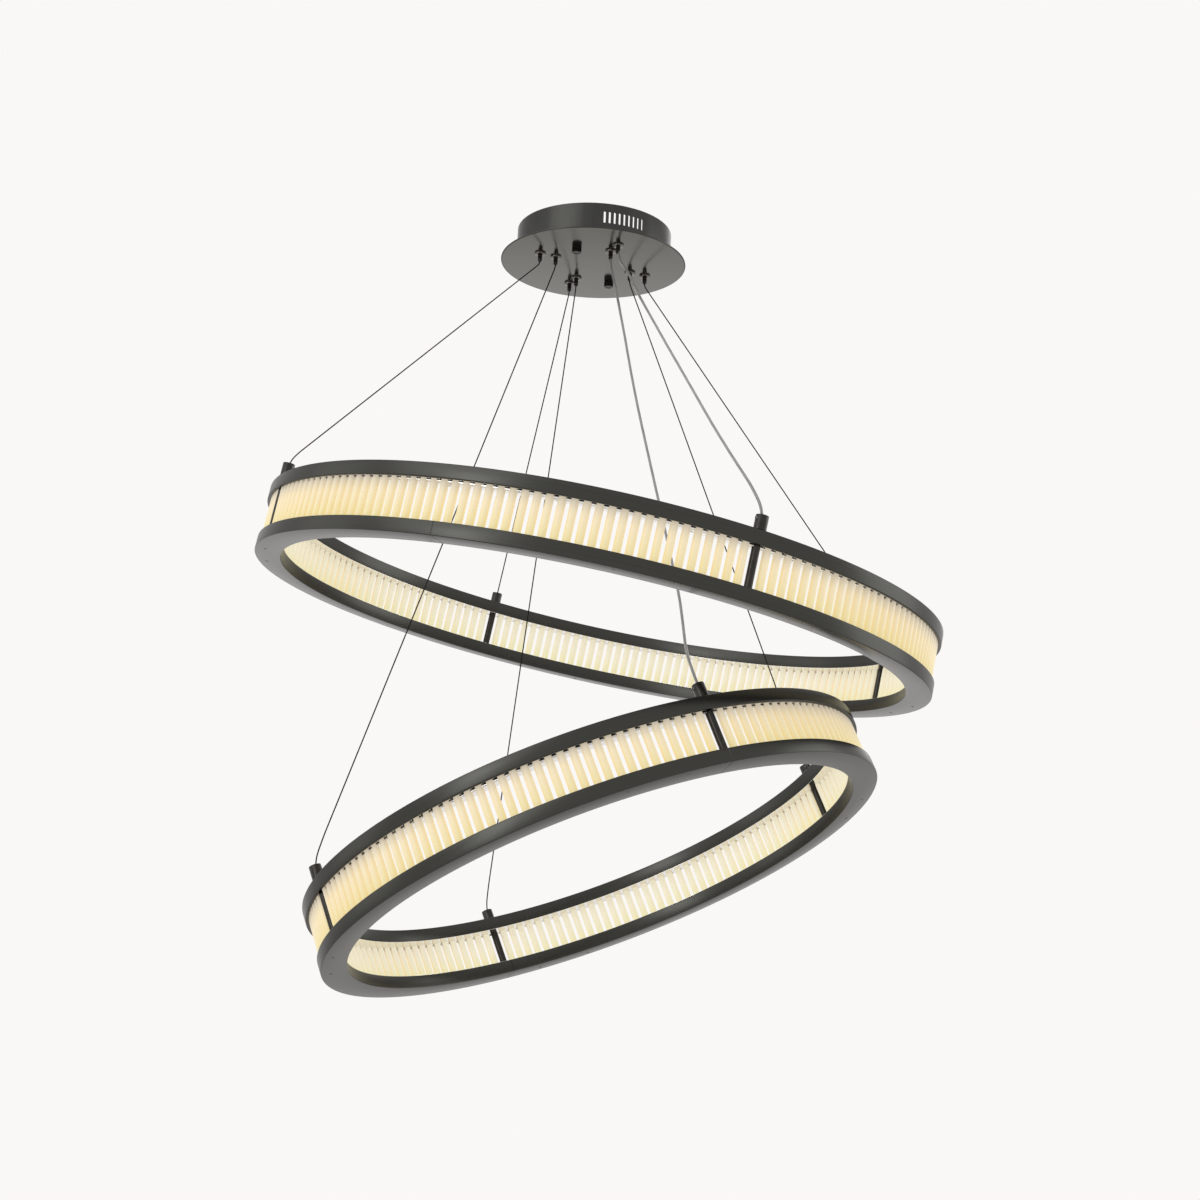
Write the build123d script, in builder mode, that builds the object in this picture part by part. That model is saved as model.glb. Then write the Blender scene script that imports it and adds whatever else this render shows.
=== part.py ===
"""Two-ring LED ceiling chandelier: a round canopy, two tilted rings of upright light rods, steel wires and cords.

Millimetres, +Z up. The origin is the middle of the ceiling face of the mounting bracket, and the lamp hangs below.
"""

import os
from math import radians, sqrt, tan

from build123d import *

os.makedirs("parts", exist_ok=True)

# Flats that stand for a round form, where there are many of them or they lie inside
INNER_FLAT_COUNT = 44  # inner faces and grooves of the rings and the drum
TURNED_FLAT_COUNT = 8  # small turned pieces and their holes

# Canopy
CANOPY_H = 40.0  # ceiling to the underside of the plate
PLATE_D = 230.0
PLATE_T = 1.5
DRUM_D = 192.0
DRUM_WALL = 1.5
VENT_COUNT = 9
VENT_W = 2.9
VENT_L = 14.7
VENT_DROP = 17.5  # ceiling to the middle of a vent
VENT_FIRST_ANGLE = -83.2
VENT_STEP_ANGLE = 3.7

# Mounting bracket, its studs and the knurled nuts that hold the plate up
BRACKET_ANGLE = 69.0
BRACKET_L = 146.0
BRACKET_W = 30.0
BRACKET_T = 2.0
BRACKET_LIP = 7.0
SCREW_SPACING = 76.0
SCREW_HOLE_D = 5.0
SUPPLY_HOLE_D = 12.0
STUD_SPACING = 116.0
STUD_D = 4.0
STUD_HOLE_CLEARANCE = 0.3
STUD_THREAD_CLEARANCE = 0.05
NUT_D = 11.6
NUT_L = 8.0
NUT_FLUTE_COUNT = 24
NUT_END_WALL = 1.5

# Electrical pieces standing on the plate
DRIVER_L = 108.0
DRIVER_W = 46.0
DRIVER_H = 22.0
DRIVER_BEVEL = 4.0
DRIVER_DRUM_GAP = 4.4
TERMINAL_L = 34.0
TERMINAL_W = 16.0
TERMINAL_H = 13.0
TERMINAL_DRIVER_GAP = 11.0
TERMINAL_POLES = 3
TERMINAL_ENTRY = 5.0
TERMINAL_ENTRY_DEPTH = 4.0

# Cable grippers and cord glands
OUTLET_ANGLE = 24.0
UPPER_OUTLET_R = 72.0
LOWER_OUTLET_R = 51.0
FLANGE_D = 13.5
FLANGE_T = 2.2
SHANK_D = 8.0
SHANK_L = 10.0  # above the underside of the plate
SHANK_CLEARANCE = 0.1
NOZZLE_L = 9.0  # below the flange
NOZZLE_TAPER = 0.5  # taken off the radius at the tip
NOZZLE_TAPER_L = 7.0
PLUNGER_D = 5.5
PLUNGER_SEAT = 7.0  # length inside the gripper
PLUNGER_CLEARANCE = 0.1

# Wires and cords
WIRE_D = 1.5
WIRE_CLEARANCE = 0.2
WIRE_BEND = 10.0  # straight lead of a wire outside a nozzle or a boss, before it turns
CORD_D = 3.2
CORD_CLEARANCE = 0.15
CORD_LEAD = 9.0
CORD_ENTRY = 13.0
TAIL = 3.0  # what stands out of the shank inside the canopy
WIRE_SIDE_COUNT = 4
CORD_SIDE_COUNT = 4
ARC_SHARE = 0.45
TAUT_ARC_SHARE = 0.9

# Rings
UPPER_D = 800.0
LOWER_D = 660.0
RING_W = 30.0
CHANNEL_H = 15.0
ROD_SHOW = 44.0  # height of the rods between the channels
ROD_D = 7.5
ROD_SIDE_COUNT = 4
ROD_INSET = 8.0  # outer face of the ring to the circle of rods
ROD_SEAT = 7.0
GROOVE_CLEARANCE = 0.3
UPPER_RODS_PER_QUARTER = 49
LOWER_RODS_PER_QUARTER = 40
LED_W = 5.0
LED_T = 4.0
LED_END_GAP = 1.0
POST_D = 7.5
POST_ANGLE = 22.0
BOSS_D = 13.5
BOSS_H = 16.0
BORE_DEPTH = 9.0
SEAT_GAP = 0.5  # end of a wire or cord to the bottom of its bore

# How the rings hang
UPPER_CENTRE = (22.6, -36.4, -478.1)
UPPER_TILT = (0.44, 9.96)  # about X, then about Y
LOWER_CENTRE = (30.5, -52.4, -770.8)
LOWER_TILT = (-13.15, -21.57)

# Hand-laid middle points of the two slack power cords
UPPER_CORD_POINTS = [
    (33, -74, -74),
    (45, -102, -113),
    (63, -142, -159),
    (80, -182, -204),
    (98, -222, -248),
    (116, -263, -291),
    (134, -305, -333),
    (153, -346, -374),
    (166, -375, -404),
    (174, -393, -424),
]
LOWER_CORD_POINTS = [
    (22, -51, -74),
    (28, -67, -113),
    (37, -90, -164),
    (45, -112, -214),
    (54, -136, -265),
    (63, -159, -315),
    (72, -183, -365),
    (81, -208, -415),
    (90, -232, -463),
    (99, -256, -509),
    (105, -279, -548),
    (110, -303, -577),
]

# Places worked out from the sizes above
QUARTERS = 4
CORD_QUARTER = 3
WIRE_QUARTERS = {"right": 0, "back": 1, "left": 2}
PLATE_Z = -CANOPY_H
PLATE_TOP_Z = PLATE_Z + PLATE_T
NOZZLE_TIP_Z = PLATE_Z - FLANGE_T - NOZZLE_L
SHANK_TOP_Z = PLATE_Z + SHANK_L
TAIL_Z = SHANK_TOP_Z + TAIL
DRIVER_FAR_Y = sqrt((DRUM_D / 2 - DRUM_WALL - DRIVER_DRUM_GAP) ** 2 - (DRIVER_W / 2) ** 2)
DRIVER_Y = DRIVER_FAR_Y - DRIVER_L / 2
TERMINAL_Y = DRIVER_FAR_Y - DRIVER_L - TERMINAL_DRIVER_GAP - TERMINAL_W / 2
BOSS_TOP = ROD_SHOW / 2 + CHANNEL_H + BOSS_H
OUTLET_RADII = {"upper": UPPER_OUTLET_R, "lower": LOWER_OUTLET_R}
RING_PLANES = {
    "upper": Plane(Location(UPPER_CENTRE, (*UPPER_TILT, 0))),
    "lower": Plane(Location(LOWER_CENTRE, (*LOWER_TILT, 0))),
}
RING_DIAMETERS = {"upper": UPPER_D, "lower": LOWER_D}
RODS_PER_QUARTER = {"upper": UPPER_RODS_PER_QUARTER, "lower": LOWER_RODS_PER_QUARTER}
CORD_POINTS = {"upper": UPPER_CORD_POINTS, "lower": LOWER_CORD_POINTS}
BRACKET_PLANE = Plane(Location((0, 0, 0), (0, 0, BRACKET_ANGLE)))


def save(piece, name):
    """Label a finished piece and write it out under the same name."""
    piece.part.label = name
    export_step(piece.part, f"parts/{name}.step")


def outlet(ring, quarter, z):
    """A point on the axis of an outlet in the canopy plate."""
    turn = OUTLET_ANGLE + quarter * 360 / QUARTERS
    return Vector(OUTLET_RADII[ring], 0, z).rotate(Axis.Z, turn)


def boss_point(ring, quarter, height):
    """A point on the axis of a boss, at a height in the ring's own frame."""
    radius = RING_DIAMETERS[ring] / 2 - ROD_INSET
    turn = POST_ANGLE + quarter * 360 / QUARTERS
    return RING_PLANES[ring].from_local_coords(Vector(radius, 0, height).rotate(Axis.Z, turn))


def corner_radii(points, share):
    """The radius of each corner of a route, so that its arc takes a share of the shorter run beside it."""
    radii = []
    for before, corner, after in zip(points, points[1:], points[2:]):
        run_in, run_out = corner - before, after - corner
        turn = radians(run_in.get_angle(run_out))
        radii.append(share * min(run_in.length, run_out.length) / tan(turn / 2))
    return radii


def shaft(diameter):
    """The outline of a small turned piece, within its diameter."""
    RegularPolygon(diameter / 2, TURNED_FLAT_COUNT)


def bore(diameter, clearance, mode=Mode.ADD):
    """The outline of a hole that clears a turned piece of a diameter all round."""
    RegularPolygon(diameter / 2 + clearance, TURNED_FLAT_COUNT, major_radius=False, mode=mode)


def tube(name, points, diameter, sides, radii):
    """A wire or cord along straight runs joined by tangent arcs."""
    with BuildPart() as cord:
        with BuildLine() as route:
            FilletPolyline(*points, radius=radii)
        line = route.wires()[0]
        with BuildSketch(Plane(origin=line @ 0, z_dir=line % 0)) as section:
            RegularPolygon(diameter / 2, sides)
        sweep()
    expected = section.sketch.area * line.length
    print(f"{name}: length {line.length:.1f}, radii {[round(r) for r in radii]}, volume ratio {cord.part.volume / expected:.4f}")
    save(cord, name)


# Mounting bracket: a strip with turned-down edges, two screw holes and a hole for the supply
with BuildPart() as bracket:
    with BuildSketch(BRACKET_PLANE):
        Rectangle(BRACKET_L, BRACKET_W)
    extrude(amount=-BRACKET_LIP)
    with BuildSketch(BRACKET_PLANE.offset(-BRACKET_T)):
        Rectangle(BRACKET_L, BRACKET_W - 2 * BRACKET_T)
    extrude(amount=-BRACKET_LIP, mode=Mode.SUBTRACT)
    with BuildSketch(BRACKET_PLANE):
        with GridLocations(SCREW_SPACING, 0, 2, 1):
            Circle(SCREW_HOLE_D / 2)
        bore(SUPPLY_HOLE_D, 0)
    extrude(amount=-BRACKET_T, mode=Mode.SUBTRACT)
save(bracket, "ceiling_bracket")

stud_end_z = PLATE_Z - NUT_L + NUT_END_WALL + SEAT_GAP
with BuildPart() as studs:
    with BuildSketch(BRACKET_PLANE.offset(-BRACKET_T)):
        with GridLocations(STUD_SPACING, 0, 2, 1):
            shaft(STUD_D)
    extrude(amount=stud_end_z + BRACKET_T)
save(studs, "canopy_studs")

for side, name in ((-1, "canopy_nut_front"), (1, "canopy_nut_back")):
    nut_plane = Plane(Location(BRACKET_PLANE.from_local_coords((side * STUD_SPACING / 2, 0, PLATE_Z))))
    with BuildPart() as nut:
        with BuildSketch(nut_plane):
            RegularPolygon(NUT_D / 2, NUT_FLUTE_COUNT)
        extrude(amount=-NUT_L)
        with BuildSketch(nut_plane):
            bore(STUD_D, STUD_THREAD_CLEARANCE)
        extrude(amount=-(NUT_L - NUT_END_WALL), mode=Mode.SUBTRACT)
    save(nut, name)

# Canopy: an open drum against the ceiling, closed below by a wider flat plate
with BuildPart() as drum:
    with BuildSketch(Plane.XY.offset(PLATE_TOP_Z)):
        Circle(DRUM_D / 2)
        RegularPolygon(DRUM_D / 2 - DRUM_WALL, INNER_FLAT_COUNT, mode=Mode.SUBTRACT)
    extrude(amount=-PLATE_TOP_Z)
    for i in range(VENT_COUNT):
        turn = VENT_FIRST_ANGLE + i * VENT_STEP_ANGLE
        outward = Vector(1, 0, 0).rotate(Axis.Z, turn)
        face = Plane(outward * (DRUM_D / 2) + Vector(0, 0, -VENT_DROP), x_dir=(0, 0, 1), z_dir=outward)
        with BuildSketch(face):
            Rectangle(VENT_L, VENT_W)
        extrude(amount=2 * DRUM_WALL, both=True, mode=Mode.SUBTRACT)
save(drum, "canopy_drum")

with BuildPart() as plate:
    with BuildSketch(Plane.XY.offset(PLATE_Z)):
        Circle(PLATE_D / 2)
        for radius in OUTLET_RADII.values():
            with PolarLocations(radius, QUARTERS, OUTLET_ANGLE):
                bore(SHANK_D, SHANK_CLEARANCE, Mode.SUBTRACT)
        with PolarLocations(STUD_SPACING / 2, 2, BRACKET_ANGLE):
            bore(STUD_D, STUD_HOLE_CLEARANCE, Mode.SUBTRACT)
    extrude(amount=PLATE_T)
save(plate, "canopy_plate")

plate_top = BRACKET_PLANE.offset(PLATE_TOP_Z)
with BuildPart() as driver:
    with BuildSketch(plate_top):
        with Locations((0, DRIVER_Y)):
            corners = Rectangle(DRIVER_W, DRIVER_L).vertices()
        chamfer(corners, DRIVER_BEVEL)
    extrude(amount=DRIVER_H)
save(driver, "led_driver")

with BuildPart() as terminal:
    with BuildSketch(plate_top):
        with Locations((0, TERMINAL_Y)):
            Rectangle(TERMINAL_L, TERMINAL_W)
    extrude(amount=TERMINAL_H)
    with BuildSketch(plate_top.offset(TERMINAL_H)):
        with Locations((0, TERMINAL_Y)):
            with GridLocations(TERMINAL_L / TERMINAL_POLES, 0, TERMINAL_POLES, 1):
                Rectangle(TERMINAL_ENTRY, TERMINAL_ENTRY)
    extrude(amount=-TERMINAL_ENTRY_DEPTH, mode=Mode.SUBTRACT)
save(terminal, "terminal_block")

# Cable grippers: a flanged body through the plate, and a sprung nozzle that frees the wire when it is pushed in
with BuildPart() as grippers:
    for ring in RING_PLANES:
        for quarter in WIRE_QUARTERS.values():
            with BuildSketch(Plane(outlet(ring, quarter, PLATE_Z))):
                shaft(FLANGE_D)
            extrude(amount=-FLANGE_T)
            with BuildSketch(Plane(outlet(ring, quarter, PLATE_Z))):
                shaft(SHANK_D)
            extrude(amount=SHANK_L)
            with BuildSketch(Plane(outlet(ring, quarter, PLATE_Z - FLANGE_T))):
                bore(PLUNGER_D, PLUNGER_CLEARANCE)
            extrude(amount=FLANGE_T + SHANK_L, mode=Mode.SUBTRACT)
save(grippers, "cable_gripper_bodies")

for ring in RING_PLANES:
    for side, quarter in WIRE_QUARTERS.items():
        with BuildPart() as plunger:
            with BuildSketch(Plane(outlet(ring, quarter, NOZZLE_TIP_Z))):
                shaft(PLUNGER_D)
            extrude(amount=NOZZLE_L + PLUNGER_SEAT)
            tip = plunger.faces().sort_by(Axis.Z)[0]
            chamfer(tip.edges(), NOZZLE_TAPER, NOZZLE_TAPER_L, reference=tip)
            with BuildSketch(Plane(outlet(ring, quarter, NOZZLE_TIP_Z))):
                bore(WIRE_D, WIRE_CLEARANCE)
            extrude(amount=NOZZLE_L + PLUNGER_SEAT, mode=Mode.SUBTRACT)
        save(plunger, f"{ring}_plunger_{side}")

with BuildPart() as glands:
    for ring in RING_PLANES:
        with BuildSketch(Plane(outlet(ring, CORD_QUARTER, PLATE_Z))):
            shaft(FLANGE_D)
        extrude(amount=-FLANGE_T)
        with BuildSketch(Plane(outlet(ring, CORD_QUARTER, PLATE_Z))):
            shaft(SHANK_D)
        extrude(amount=SHANK_L)
        with BuildSketch(Plane(outlet(ring, CORD_QUARTER, NOZZLE_TIP_Z))):
            shaft(PLUNGER_D)
        extrude(amount=NOZZLE_L)
        tip = glands.faces(Select.LAST).sort_by(Axis.Z)[0]
        chamfer(tip.edges(), NOZZLE_TAPER, NOZZLE_TAPER_L, reference=tip)
        with BuildSketch(Plane(outlet(ring, CORD_QUARTER, NOZZLE_TIP_Z))):
            bore(CORD_D, CORD_CLEARANCE)
        extrude(amount=SHANK_TOP_Z - NOZZLE_TIP_Z, mode=Mode.SUBTRACT)
save(glands, "cord_glands")

# Rings: grooved channels above and below, rods and posts standing in the grooves, light strips under the rods
for ring, plane in RING_PLANES.items():
    outer_r = RING_DIAMETERS[ring] / 2
    rod_r = outer_r - ROD_INSET
    rod_count = RODS_PER_QUARTER[ring]
    rod_step = 360 / QUARTERS / (rod_count + 1)
    top_z = ROD_SHOW / 2
    bottom_z = -ROD_SHOW / 2
    led_z = bottom_z - ROD_SEAT
    floor_z = led_z - LED_T
    groove_half = max(ROD_D, POST_D) / 2 + GROOVE_CLEARANCE

    for name, mouth_z, height, depth in (
        ("top", top_z, CHANNEL_H, ROD_SEAT),
        ("bottom", bottom_z, -CHANNEL_H, -(ROD_SEAT + LED_T)),
    ):
        with BuildPart() as channel:
            with BuildSketch(plane.offset(mouth_z)):
                Circle(outer_r)
                RegularPolygon(outer_r - RING_W, INNER_FLAT_COUNT, major_radius=False, mode=Mode.SUBTRACT)
            extrude(amount=height)
            with BuildSketch(plane.offset(mouth_z)):
                RegularPolygon(rod_r + groove_half, INNER_FLAT_COUNT, major_radius=False)
                RegularPolygon(rod_r - groove_half, INNER_FLAT_COUNT, mode=Mode.SUBTRACT)
            extrude(amount=depth, mode=Mode.SUBTRACT)
        save(channel, f"{ring}_{name}_channel")

    with BuildPart() as strips:
        with BuildSketch(plane.offset(floor_z)):
            RegularPolygon(rod_r + LED_W / 2, INNER_FLAT_COUNT, major_radius=False)
            RegularPolygon(rod_r - LED_W / 2, INNER_FLAT_COUNT, major_radius=False, mode=Mode.SUBTRACT)
            with PolarLocations(rod_r, QUARTERS, POST_ANGLE):
                Rectangle(2 * groove_half, POST_D + 2 * LED_END_GAP, mode=Mode.SUBTRACT)
        extrude(amount=LED_T)
    save(strips, f"{ring}_led_strips")

    with BuildPart() as rods:
        with BuildSketch(plane.offset(led_z)):
            for quarter in range(QUARTERS):
                first = POST_ANGLE + quarter * 360 / QUARTERS + rod_step
                with PolarLocations(rod_r, rod_count, first, rod_count * rod_step):
                    RegularPolygon(ROD_D / 2, ROD_SIDE_COUNT)
        extrude(amount=ROD_SHOW + 2 * ROD_SEAT)
    save(rods, f"{ring}_light_rods")

    with BuildPart() as posts:
        with BuildSketch(plane.offset(floor_z)):
            with PolarLocations(rod_r, QUARTERS, POST_ANGLE):
                shaft(POST_D)
        extrude(amount=top_z + ROD_SEAT - floor_z)
    save(posts, f"{ring}_posts")

    with BuildPart() as bosses:
        with BuildSketch(plane.offset(top_z + CHANNEL_H)):
            with PolarLocations(rod_r, QUARTERS, POST_ANGLE):
                shaft(BOSS_D)
        extrude(amount=BOSS_H)
        for quarter in range(QUARTERS):
            with BuildSketch(Plane(boss_point(ring, quarter, BOSS_TOP), z_dir=plane.z_dir)):
                if quarter == CORD_QUARTER:
                    bore(CORD_D, CORD_CLEARANCE)
                else:
                    bore(WIRE_D, WIRE_CLEARANCE)
            extrude(amount=-BORE_DEPTH, mode=Mode.SUBTRACT)
    save(bosses, f"{ring}_bosses")

# Steel wires: down through the gripper, a short bend, a taut run and a short bend into the boss
for ring, plane in RING_PLANES.items():
    for side, quarter in WIRE_QUARTERS.items():
        points = [
            outlet(ring, quarter, TAIL_Z),
            outlet(ring, quarter, NOZZLE_TIP_Z - WIRE_BEND),
            boss_point(ring, quarter, BOSS_TOP + WIRE_BEND),
            boss_point(ring, quarter, BOSS_TOP - BORE_DEPTH + SEAT_GAP),
        ]
        turns = corner_radii([points[1] + Vector(0, 0, WIRE_BEND), *points[1:3], boss_point(ring, quarter, BOSS_TOP)], TAUT_ARC_SHARE)
        tube(f"{ring}_wire_{side}", points, WIRE_D, WIRE_SIDE_COUNT, turns)

# Power cords: slack, out of a gland and into the fourth boss of each ring
for ring, plane in RING_PLANES.items():
    points = [
        outlet(ring, CORD_QUARTER, TAIL_Z),
        outlet(ring, CORD_QUARTER, NOZZLE_TIP_Z - CORD_LEAD),
        *[Vector(*point) for point in CORD_POINTS[ring]],
        boss_point(ring, CORD_QUARTER, BOSS_TOP + CORD_ENTRY),
        boss_point(ring, CORD_QUARTER, BOSS_TOP - BORE_DEPTH + SEAT_GAP),
    ]
    tube(f"{ring}_power_cord", points, CORD_D, CORD_SIDE_COUNT, corner_radii(points, ARC_SHARE))
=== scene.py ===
import math
from itertools import accumulate

import bmesh
import bpy
from mathutils import Matrix, Vector


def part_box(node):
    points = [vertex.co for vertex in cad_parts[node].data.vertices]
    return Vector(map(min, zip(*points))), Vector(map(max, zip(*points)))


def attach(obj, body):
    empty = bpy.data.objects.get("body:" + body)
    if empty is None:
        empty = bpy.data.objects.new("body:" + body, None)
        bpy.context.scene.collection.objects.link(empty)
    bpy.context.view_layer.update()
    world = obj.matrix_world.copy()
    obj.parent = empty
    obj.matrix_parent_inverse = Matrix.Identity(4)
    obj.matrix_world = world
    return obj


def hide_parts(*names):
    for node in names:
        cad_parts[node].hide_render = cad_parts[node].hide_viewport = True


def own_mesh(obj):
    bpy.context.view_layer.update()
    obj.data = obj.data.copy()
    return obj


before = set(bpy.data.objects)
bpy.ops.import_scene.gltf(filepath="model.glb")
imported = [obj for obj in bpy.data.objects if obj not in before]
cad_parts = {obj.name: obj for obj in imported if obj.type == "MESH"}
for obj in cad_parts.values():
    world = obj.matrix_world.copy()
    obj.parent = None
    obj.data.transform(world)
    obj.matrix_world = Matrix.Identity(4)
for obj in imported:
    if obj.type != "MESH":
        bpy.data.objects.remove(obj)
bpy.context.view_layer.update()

bl_info = {
    "name": "Ring chandelier",
    "version": (1, 0, 0),
    "blender": (4, 5, 0),
    "location": "View3D > Sidebar > Chandelier",
    "description": "Dresses the packed frame of a ceiling lamp with two tilted rings of light rods",
    "category": "Object",
}

MM = 0.001

# The lamp's layout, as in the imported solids. A ring's tilt is in degrees about X, then Y.
QUARTERS = 4
CORD_QUARTER = 3
WIRE_QUARTERS = {"right": 0, "back": 1, "left": 2}
RINGS = ("upper", "lower")
OUTLET_ANGLE = math.radians(24)
POST_ANGLE = math.radians(22)
OUTLET_RADIUS = {"upper": 72 * MM, "lower": 51 * MM}
RING_CENTRE = {
    "upper": Vector((22.6, -36.4, -478.1)) * MM,
    "lower": Vector((30.5, -52.4, -770.8)) * MM,
}
RING_TILT = {"upper": (0.44, 9.96), "lower": (-13.15, -21.57)}
BRACKET_ANGLE = math.radians(69)
STUD_SPACING = 116 * MM
DRIVER_SIZE = (46 * MM, 108 * MM)
TERMINAL_LENGTH = 34 * MM
PLATE_LOW, PLATE_TOP = (corner.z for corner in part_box("canopy_plate"))
PLATE_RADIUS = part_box("canopy_plate")[1].x
DRUM_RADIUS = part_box("canopy_drum")[1].x
NOZZLE_TIP, SHANK_TOP = (corner.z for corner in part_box("cord_glands"))
FLANGE_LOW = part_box("cable_gripper_bodies")[0].z
NUT_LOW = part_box("canopy_nut_front")[0].z
TAIL_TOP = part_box("upper_power_cord")[1].z

# Routes of the cords and wires: a cord's points in millimetres, its straight runs below the outlet
# and above the boss, a wire's bends, and how deep both go into a boss.
CORD_POINTS = {
    "upper": (
        (41, -74, -74), (53, -102, -113), (70, -142, -159), (86, -182, -204), (102, -222, -248),
        (117, -263, -291), (131, -305, -333), (146, -346, -374), (158, -375, -404),
        (166, -392, -423),
    ),
    "lower": (
        (25, -51, -74), (32, -67, -113), (41, -90, -164), (49, -112, -214), (58, -136, -265),
        (68, -159, -315), (78, -183, -365), (88, -208, -415), (97, -232, -463), (106, -256, -509),
        (110, -279, -548), (112, -303, -577),
    ),
}
CORD_LENGTH = {"upper": 0.5840, "lower": 0.6688}
CORD_DROP = 9 * MM
CORD_RISE = 5 * MM
WIRE_LENGTH = {
    "upper": {"right": 0.5859, "back": 0.4771, "left": 0.4716},
    "lower": {"right": 0.6784, "back": 0.8445, "left": 0.8339},
}
WIRE_BEND = 3 * MM
WIRE_KNEE = {"upper": 18 * MM, "lower": 34 * MM}
KNEE_LEAN = 5 * MM
BEND_DIAMETERS = 6
SEAT_DEPTH = 8.5 * MM

# Details of the dressed pieces, first the number of flats round each of them.
SIDES = {
    "rod": 12, "wire": 8, "cord": 12, "post": 24, "boss": 40, "screw": 12, "nozzle": 28,
    "outlet": 32, "locknut": 6, "stud": 12, "vent": 24, "plate": 192, "drum": 192, "ring": 256,
}
ORIGIN = (0.0, 0.0)
CLOSE_FIT = 0.2 * MM
CLEAR_FIT = 0.3 * MM
SHARP_EDGE = math.radians(35)
DRUM_WALL = 1.5 * MM
DRUM_EASE = 0.5 * MM
GROOVE_EASE = 0.3 * MM
ROD_BEVEL = 0.6 * MM
STRIP_THICKNESS = 0.3 * MM
STRIP_LIP = 2.2 * MM
STRIP_DROP = 2.0 * MM
STRIP_EASE = 0.1 * MM
STRIP_SETBACK = 0.4 * MM
SEAM_HALF_WIDTH = 0.35 * MM
SEAM_SIZE = 0.975
SEAM_ANGLES = {
    "upper": {"top": POST_ANGLE, "bottom": math.radians(245.5)},
    "lower": {"top": POST_ANGLE, "bottom": math.radians(112)},
}
SET_SCREW_TURN = {"upper": (-95, 0, 135, -80), "lower": (-112, 0, -100, -95)}
SET_SCREW_HEIGHT = 0.74
VENT_COUNT = 9
VENT_FIRST = math.radians(-83.2)
VENT_STEP = math.radians(3.7)
VENT_HEIGHT = -17.5 * MM
VENT_CUT = 4 * MM
BORE_DEPTH = 9 * MM
NUT_FLUTES = 24
NOZZLE_LENGTH = 16 * MM
SHANK_RADIUS = 4 * MM
UNDERSIDE_SCREW_LEAD = math.radians(19.6)
UNDERSIDE_SCREW_SPACING = math.radians(11.7)
UNDERSIDE_SCREW_INSET = 11 * MM
DRIVER_EASE = 4 * MM
DRIVER_RIBS = 7
DRIVER_RIB_SPACING = 9 * MM
STUD_RADIUS = 2.0 * MM
THREAD_PITCH = 0.7 * MM
WIRE_STRANDS = 6
STRAND_PITCH = 9 * MM
CORD_TWIST = 60 * MM

# Brush marks to the metre, along and across, first the fine scratches and then the streaks.
RING_BRUSH = ((6.0, 900.0, 1.0), (2.0, 260.0, 1.0))
STRIP_BRUSH = ((6.0, 900.0, 1.0), (2.0, 200.0, 1.0))
DRUM_BRUSH = ((900.0, 30.0, 1.0), (45.0, 4.0, 1.0))
PLATE_BRUSH = ((40.0, 900.0, 1.0), (4.0, 60.0, 1.0))

# Colours of the pieces that hardly show.
SET_SCREW_STEEL = (0.14, 0.14, 0.13)
LOCKNUT_ZINC = (0.5, 0.5, 0.48)
BRACKET_ZINC = (0.55, 0.55, 0.53)
TERMINAL_BRASS = (0.72, 0.55, 0.28)
TERMINAL_PLASTIC = (0.62, 0.56, 0.42)
DRIVER_PLASTIC = (0.74, 0.74, 0.72)

# The stage: the photograph's camera, the lamps with their places, sizes and watts, and the floor.
CAMERA_PLACE = (0.0, -2.0648, -0.8764)
CAMERA_PITCH, CAMERA_ROLL, CAMERA_YAW = 0.19623, 0.04123, 0.01247
FOCAL_PIXELS = 1753.65
PICTURE_PIXELS = 1200
SENSOR_WIDTH = 36.0
CAMERA_CLIP = (0.05, 60.0)
LAMPS = {
    "key_light": ((-2.6, -2.4, 1.6), (3.0, 3.0), 34.0),
    "fill_light": ((3.1, 0.4, 0.05), (1.7, 2.4), 23.0),
    "side_light": ((-3.0, 0.2, -0.1), (1.4, 2.6), 8.0),
    "accent_light": ((-2.16, -2.45, 0.0), (0.8, 1.2), 9.0),
    "back_light": ((0.6, 3.0, 1.0), (2.8, 2.0), 16.0),
}
LAMP_AIM = Vector((0.0, 0.0, -0.45))
AMBIENT = 0.8
FLOOR_REACH = 3.5
FLOOR_HEIGHT = -1.75


def length(name, description, default):
    """A length that a user may change."""
    return bpy.props.FloatProperty(
        name=name, description=description, default=default, min=0.0, unit="LENGTH", precision=4
    )


def amount(name, description, default):
    """A number of pieces that a user may change."""
    return bpy.props.IntProperty(name=name, description=description, default=default, min=1)


def share(name, description, default):
    """A plain number from 0 to 1 that a user may change."""
    return bpy.props.FloatProperty(
        name=name, description=description, default=default, min=0.0, max=1.0, subtype="FACTOR"
    )


def tint(name, description, default):
    """A colour that a user may change."""
    return bpy.props.FloatVectorProperty(
        name=name, description=description, default=default,
        min=0.0, max=1.0, size=3, subtype="COLOR",
    )


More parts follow.
